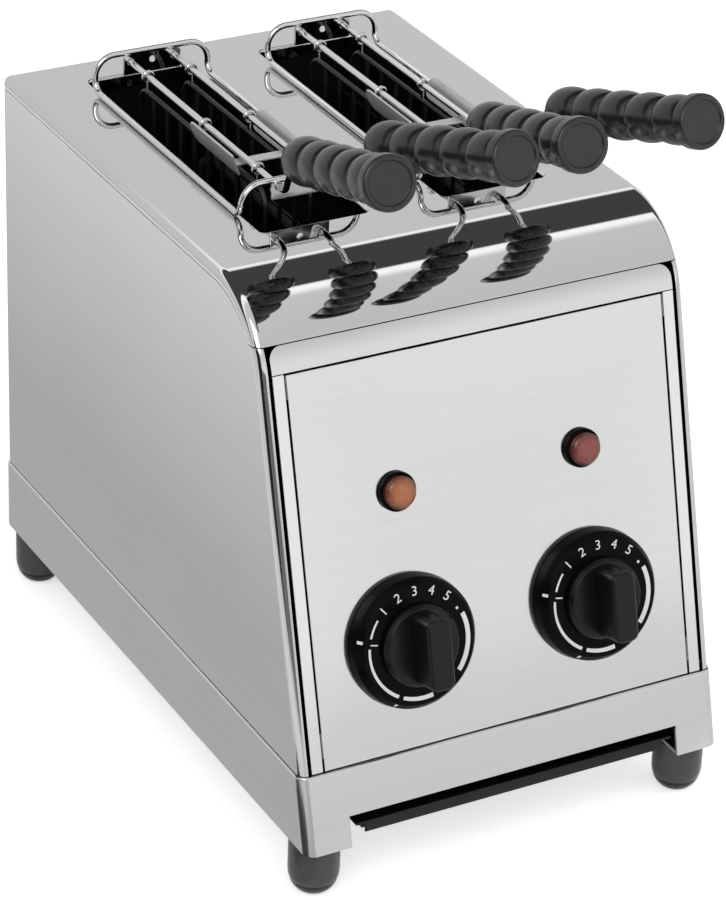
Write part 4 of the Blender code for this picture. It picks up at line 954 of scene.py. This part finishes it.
def lofted_bar(half_a, half_b, corner, insets, heights):
    """Rounded rectangles stacked up: at each height both half sides and the corner shrink by the inset."""
    angles, sign_a, sign_b = four_corners(9)
    insets, heights = np.asarray(insets)[:, None], np.asarray(heights)[:, None]
    radius = np.maximum(corner - insets, 0.0)
    core_a = np.maximum(half_a - np.maximum(insets, corner), 0.0)
    core_b = np.maximum(half_b - np.maximum(insets, corner), 0.0)
    grid = circled(radius, angles, heights, sign_a * core_a, sign_b * core_b)
    return np.concatenate((grid, grid[:, :1]), axis=1)


dial_black = mould("dial_black", (0.002, 0.002, 0.0023), 0.30, drift=0.001, relief=0.06, wear_and_highlight=0.1, shine=0.06)
knob_black = mould("knob_black", (0.004, 0.004, 0.0045), 0.30, drift=0.002, relief=0.08, wear_and_highlight=0.4, shine=0.25)
ink = mould("pale_print", (0.70, 0.70, 0.69), 0.45, drift=0.05, relief=0.05, wear_and_highlight=0.0)
shaft_steel = metal("bright_shaft", (0.60, 0.60, 0.60), 0.15)
timer_grey = mould("timer_case", (0.20, 0.20, 0.20), 0.5)
DIAL_PROFILE = bent([(0.0053, 0.0003), (0.0053, DIAL_FACE), (DIAL_FACE_RADIUS, DIAL_FACE), (0.0307, 0.0056),
                     (0.0315, 0.0003)], [0.0001, 0.0004, 0.0012, 0.0016, 0.0002], 6, closed=True)
SKIRT_PROFILE = bent([(0, SKIRT_TOP), (0.0178, SKIRT_TOP), (0.0192, 0.0114), (0.0192, KNOB_SEAT),
                      (0, KNOB_SEAT)], [0, 0.0008, 0.0006, 0.0003, 0], 5)
for side_name in ("left", "right"):
    spot = on_front(f"{side_name}_dial_plate", DIAL_DROP)
    ring = np.concatenate((DIAL_PROFILE, DIAL_PROFILE[:1]))
    dial = knit(f"{side_name}_dial_moulding", [turned(ring, spot, 96)])
    seat(dial, dial_black, "black_plastic", f"{side_name}_dial_plate")
    marks = [printed_arc(*arc) for arc in MARK_ARCS] + [printed_tick(*tick) for tick in MARK_TICKS]
    print_piece = knit(f"{side_name}_dial_marks", [moved(mark, spot) for mark in marks], merge=FINE_MERGE)
    gather = bmesh.new()
    gather.from_mesh(print_piece.data)
    for number, angle in NUMERALS:
        figure = numeral(number, angle, spot)
        gather.from_mesh(figure)
        bpy.data.meshes.remove(figure)
    gather.to_mesh(print_piece.data)
    gather.free()
    seat(print_piece, ink, "black_plastic")

    over, down = rounded(FIN_ROUND, quarter(7))
    insets = np.concatenate(([0.0, FIN_DRAFT], FIN_DRAFT + over, [0.0030, FIN_WIDTH / 2]))
    heights = np.concatenate(([FIN_FOOT, SKIRT_TOP], FIN_TOP - down, [FIN_TOP + 0.00002, FIN_TOP]))
    fin = moved(lofted_bar(FIN_WIDTH / 2, FIN_LENGTH / 2, FIN_CORNER, insets, heights), spot)
    knob = knit(f"{side_name}_knob_moulding", [turned(SKIRT_PROFILE, spot, 96), fin], merge=0.000004)
    seat(knob, knob_black, "black_plastic", f"{side_name}_knob", body=f"{side_name}_timer_knob")
    dress(f"{side_name}_timer", timer_grey)
    dress(f"{side_name}_timer_shaft", shaft_steel)

# The signal lamps: a black bezel pushed through the panel, and in it a red lens that stands proud,
# with a domed crown and fine ribs round its wall.
LENS_RADIUS = 0.0077
LENS_FOOT = 0.0014
LENS_RIM = 0.0044
LENS_CROWN = 0.0030
LENS_RIBS = 36
LENS_RIPPLE = 0.012
LENS_DROP = 0.0043
# Painted shade on the lenses: each lens colour runs towards the second shade of its pair in LENS_SHADES,
# darker towards the wall.
LENS_STEEPNESS = 3.5
LENS_DEEPEST = 0.85
LENS_SHADES = {"left": ((0.38, 0.115, 0.045), (0.03, 0.004, 0.002)),
               "right": ((0.24, 0.048, 0.038), (0.02, 0.003, 0.002))}
BEZEL_PROFILE = bent([(0, 0.0011), (0.0080, 0.0011), (0.0080, 0.0025), (0.0092, 0.0025), (0.0092, 0.0003),
                      (0.0070, 0.0003), (0.0070, -0.028), (0, -0.028)],
                     [0, 0.0001, 0.0004, 0.0007, 0.0001, 0.0001, 0.0006, 0], 5)


def lens_surface():
    """A ribbed cup: the wall's radius ripples with the angle, and the ripple dies out up the crown."""
    turn = np.linspace(0, 2 * np.pi, 12 * LENS_RIBS + 1)[None, :]
    climb = quarter(16)[:, None]
    radius = np.concatenate(([[0.0], [LENS_RADIUS], [LENS_RADIUS]], LENS_RADIUS * np.cos(climb) ** 0.8))
    height = np.concatenate(([[LENS_FOOT], [LENS_FOOT], [LENS_RIM - 0.0004]],
                             LENS_RIM + LENS_CROWN * np.sin(climb)))
    fade = np.clip(radius / LENS_RADIUS, 0, 1) ** 6
    radius = radius * (1 - LENS_RIPPLE * fade * (1 + np.cos(LENS_RIBS * turn)) / 2)
    return circled(radius, turn, height)


def lens_look(name, shade, deep):
    """Coloured clear plastic with painted shade: the colour runs deeper towards the wall, where the rim
    attribute nears 1.
    """
    def deepen(tree, colour):
        """The painted shade's share is LENS_DEEPEST * rim ^ LENS_STEEPNESS."""
        rim = add_node(tree, "Attribute", attribute_name="rim").outputs["Fac"]
        share = sums(tree, "MULTIPLY", sums(tree, "POWER", rim, LENS_STEEPNESS), LENS_DEEPEST)
        return blended(tree, share, colour, tint(deep))
    return mould(name, shade, 0.18, speck=420.0, drift=0.04, relief=0.05, wear_and_highlight=0.0, coat=0.15, deepen=deepen,
                 inlets={"Transmission Weight": 0.05, "Subsurface Weight": 0.1, "Subsurface Scale": 0.002})


for side_name in ("left", "right"):
    spot = on_front(f"{side_name}_lamp_lens", LENS_DROP)
    body = knit(f"{side_name}_lamp_bezel", [turned(BEZEL_PROFILE, spot, 64)])
    seat(body, dial_black, "black_plastic", f"{side_name}_lamp_body")
    lens = knit(f"{side_name}_lamp_glass", [moved(lens_surface(), spot)], crease=60.0, merge=0.000002)
    # The rim attribute, radius from the lens axis over the lens radius, sets where the painted shade falls.
    flat = moved(places_in(lens.data), spot.inverted())
    rim = lens.data.attributes.new("rim", "FLOAT", "POINT")
    rim.data.foreach_set("value", np.hypot(flat[:, 0], flat[:, 1]) / LENS_RADIUS)
    look = lens_look(f"{side_name}_red_lens", *LENS_SHADES[side_name])
    seat(lens, look, "red_lens", f"{side_name}_lamp_lens")

# The sandwich tongs: a bright wire frame rests on the cover round each slot, and two plates on its
# arches carry two rods. A wire jaw hangs from each rod, and the rod's bent end carries a ribbed grip.
FRAME_WIRE = 0.0015
FRAME_SQUARE = (0.31, 0.28, 0.91)
ARCH_ROUND = 0.010
RAIL_ROUND = 0.006
FRONT_ARCH_DROP = 0.0018
ROD_RADIUS = 0.0016
ROD_OFFSET = 0.0115
ROD_BEND = 0.008
ROD_OVERHANG = (0.004, 0.007)
ROD_RISE = 0.0135
GRIP_START = (0.0198, 0.0366, 0.043)
GRIP_END = (0.0300, 0.1318, 0.074)
GRIP_BEADS = 5
GRIP_BULGE = 0.0112
GRIP_VALLEY = 0.0084
GRIP_NOSE = 0.0070
GRIP_BORE = 0.0018
GRIP_BITE = 0.6
CAP_RADIUS = 0.0123
CAP_THICKNESS = 0.0075
CAP_ROUND = 0.0016
CAP_RECESS = 0.0009
THIN_BEVEL = 0.0002
BRACKET_SHEET = 0.0015
BRACKET_HOLE = 0.0015
BRACKET_FOOT = 0.0070
BRACKET_SIDE = 0.0036
EYE_RADIUS = 0.00175
EYE_WIRE = 0.0008
JAW_WIRE = 0.00125
JAW_CORNER = 0.008
JAW_UPRIGHTS = 8
JAW_ROD_DROP = 0.008
HANGER_WIRE = 0.0010
HANGER_SHARES = (0.06, 0.47, 0.94)


def grip_profile(length):
    """Beads in a row: radius = valley + (bulge - valley) * sqrt(sin) along each, then a thick end disc."""
    back = length - CAP_THICKNESS / 2
    front = length + CAP_THICKNESS / 2
    place = np.linspace(0.0, 1.0, 15)[:-1]
    swell = GRIP_VALLEY + (GRIP_BULGE - GRIP_VALLEY) * np.sqrt(np.sin(np.pi * place))
    beads = np.arange(GRIP_BEADS)[:, None]
    along = ((beads + place[None, :]) * back / GRIP_BEADS).ravel()
    ribs = np.stack((np.tile(swell, GRIP_BEADS), along), axis=-1)
    nose = [(0, GRIP_BITE * length), (GRIP_BORE, GRIP_BITE * length), (GRIP_BORE, 0.0), (GRIP_NOSE, 0.0),
            (GRIP_NOSE + 0.0012, 0.0006)]
    cap = bent([(GRIP_VALLEY, back), (CAP_RADIUS, back), (CAP_RADIUS, front), (CAP_RADIUS - 0.0024, front),
                (CAP_RADIUS - 0.0030, front - CAP_RECESS), (0, front - CAP_RECESS)],
               [0, CAP_ROUND, CAP_ROUND, 0.0004, 0.0004, 0], 6)
    return np.concatenate((nose, ribs, cap))


def facing_along(middle, direction):
    """A frame at middle whose Z points along the direction."""
    out = unit(np.array(direction, float))
    side = unit(np.cross((0, 0, 1), out))
    place = np.eye(4)
    place[:3, :3] = np.stack((side, np.cross(out, side), out), axis=1)
    place[:3, 3] = middle
    return place


def bracket_patches(middle, y, arch):
    """A flat plate with three holes, as rings of cells: each hole's circle runs out to its own square cell.

    The outline is the three cells' border: over a hole the square point is direction / max(|cos|, |sin|)
    of the half width across, stretched to the plate's top and foot.
    """
    per_side = 8
    turn = np.linspace(-np.pi / 4, 2 * np.pi - np.pi / 4, 4 * per_side + 1)
    reach = 1 / np.maximum(np.abs(np.cos(turn)), np.abs(np.sin(turn)))
    square = np.stack((np.cos(turn) * reach, np.sin(turn) * reach), axis=-1)
    level = TOP + ROD_RISE
    head, foot = arch - level, BRACKET_FOOT - ROD_RISE
    edges = (-ROD_OFFSET - BRACKET_SIDE, -BRACKET_HOLE * 2, BRACKET_HOLE * 2, ROD_OFFSET + BRACKET_SIDE)
    holes = ((-ROD_OFFSET, EYE_RADIUS), (0.0, BRACKET_HOLE), (ROD_OFFSET, EYE_RADIUS))
    patches = []
    for index, (across, radius) in enumerate(holes):
        hole = np.stack((across + radius * np.cos(turn), radius * np.sin(turn)), axis=-1)
        near, far = edges[index], edges[index + 1]
        border = np.stack((near + (far - near) * (square[:, 0] + 1) / 2,
                           foot + (head - foot) * (square[:, 1] + 1) / 2), axis=-1)
        faces = [[grid_of(middle + loop[:, 0], y + side * BRACKET_SHEET / 2, level + loop[:, 1])
                  for loop in (hole, border)] for side in (-1, 1)]
        patches.append(np.stack((faces[0][1], faces[0][0], faces[1][0], faces[1][1])))
        keep = np.ones((1, turn.size - 1), bool)
        keep[0, :per_side] = index == 2
        keep[0, 2 * per_side:3 * per_side] = index == 0
        patches.append((np.stack((faces[0][1], faces[1][1])), keep))
    return patches


wire_steel = metal("bright_wire", (0.66, 0.66, 0.655), 0.06, grain=(40.0, 40.0, 40.0), drift=0.03, wear_and_highlight=0.2)
spring_steel = metal("spring_steel", (0.76, 0.76, 0.75), 0.50, grain=(30.0, 240.0, 240.0), wear_and_highlight=0.2)
# The grips' paler bead crests are partly wear and partly a painted highlight for their lit tops; their
# darkened grooves are painted shade.
grip_black = mould("grip_black", (0.014, 0.014, 0.015), 0.25, drift=0.006, relief=0.20, wear_and_highlight=0.6, hollow_shade=0.95)
for tong in ("left_tong", "right_tong"):
    low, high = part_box(f"{tong}_frame")
    rail, arch = low.z + FRAME_WIRE, high.z - FRAME_WIRE
    front, rear = low.y + FRAME_WIRE, high.y - FRAME_WIRE
    left, right = low.x + FRAME_WIRE, high.x - FRAME_WIRE
    middle = (left + right) / 2
    front_arch = arch - FRONT_ARCH_DROP
    corners = [(left, front, rail), (left, rear, rail), (left, rear, arch), (right, rear, arch),
               (right, rear, rail), (right, front, rail), (right, front, front_arch),
               (left, front, front_arch)]
    radii = [RAIL_ROUND if corner[2] == rail else ARCH_ROUND for corner in corners]
    ring = wire(bent(corners, radii, 10, closed=True), FRAME_WIRE, FRAME_SQUARE, closed=True, sides=16)
    seat(knit(f"{tong}_wire_frame", [ring]), wire_steel, "bright_wire", f"{tong}_frame", body=tong)
    for end_name, y, head in (("front", front, front_arch), ("rear", rear, arch)):
        plate = knit(f"{tong}_{end_name}_plate", bracket_patches(middle, y, head), crease=30.0)
        seat(ease(plate, bevel=THIN_BEVEL), wire_steel, "bright_wire", f"{tong}_{end_name}_bracket",
             body=tong)
    finer(f"{tong}_closing_spring", f"{tong}_leaf_spring", spring_steel, "spring_steel",
          bevel=THIN_BEVEL, body=tong)
    for side_name, side in SIDES:
        hand = f"{tong}_{side_name}"
        arm = f"{hand}_arm"
        x = middle + side * ROD_OFFSET
        start, end = (np.array((middle + side * across, front - ahead, TOP + rise))
                      for across, ahead, rise in (GRIP_START, GRIP_END))
        length = np.linalg.norm(end - start)
        aim = (end - start) / length
        rod_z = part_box(f"{hand}_rod")[0].z + ROD_RADIUS
        path = bent([(x, rear + ROD_OVERHANG[0], rod_z), (x, front - ROD_OVERHANG[1], rod_z),
                     start - aim * ROD_BEND, start + aim * (GRIP_BITE * length - 0.0003)], ROD_BEND, 10)
        rod = knit(f"{hand}_bent_rod", [wire(path, ROD_RADIUS, sides=16)])
        seat(rod, wire_steel, "bright_wire", f"{hand}_rod", body=arm)
        grip = knit(f"{hand}_handle", [turned(grip_profile(length), facing_along(start, aim))], crease=50.0)
        seat(grip, grip_black, "black_plastic", f"{hand}_grip", body=arm)

        jaw_low, jaw_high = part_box(f"{hand}_jaw")
        near, far = jaw_low.y + JAW_WIRE, jaw_high.y - JAW_WIRE
        top, bottom = rod_z - JAW_ROD_DROP, jaw_low.z + JAW_WIRE
        loop = bent([(x, near, top), (x, far, top), (x, far, bottom), (x, near, bottom)], JAW_CORNER, 8,
                    closed=True)
        wires = [wire(loop, JAW_WIRE, closed=True)]
        wires += [wire([(x, y, bottom), (x, y, top)], HANGER_WIRE)
                  for y in np.linspace(near, far, JAW_UPRIGHTS + 2)[1:-1]]
        jaw = knit(f"{hand}_wire_jaw", wires, merge=FINE_MERGE)
        seat(jaw, burnt, "burnt_steel", f"{hand}_jaw", body=arm)
        eye = ROD_RADIUS + 0.0002 + EYE_WIRE
        turn = np.linspace(0, 2 * np.pi, 25)[:-1]
        hooks = []
        for y in near + (far - near) * np.array(HANGER_SHARES):
            hoop = grid_of(x + eye * np.sin(turn), y, rod_z + eye * np.cos(turn))
            hooks.append(wire(hoop, EYE_WIRE, (0, 1, 0), closed=True))
            hooks.append(wire([(x, y, rod_z - eye), (x, y, top)], EYE_WIRE))
        seat(knit(f"{hand}_jaw_hooks", hooks, merge=FINE_MERGE), wire_steel, "bright_wire", body=arm)
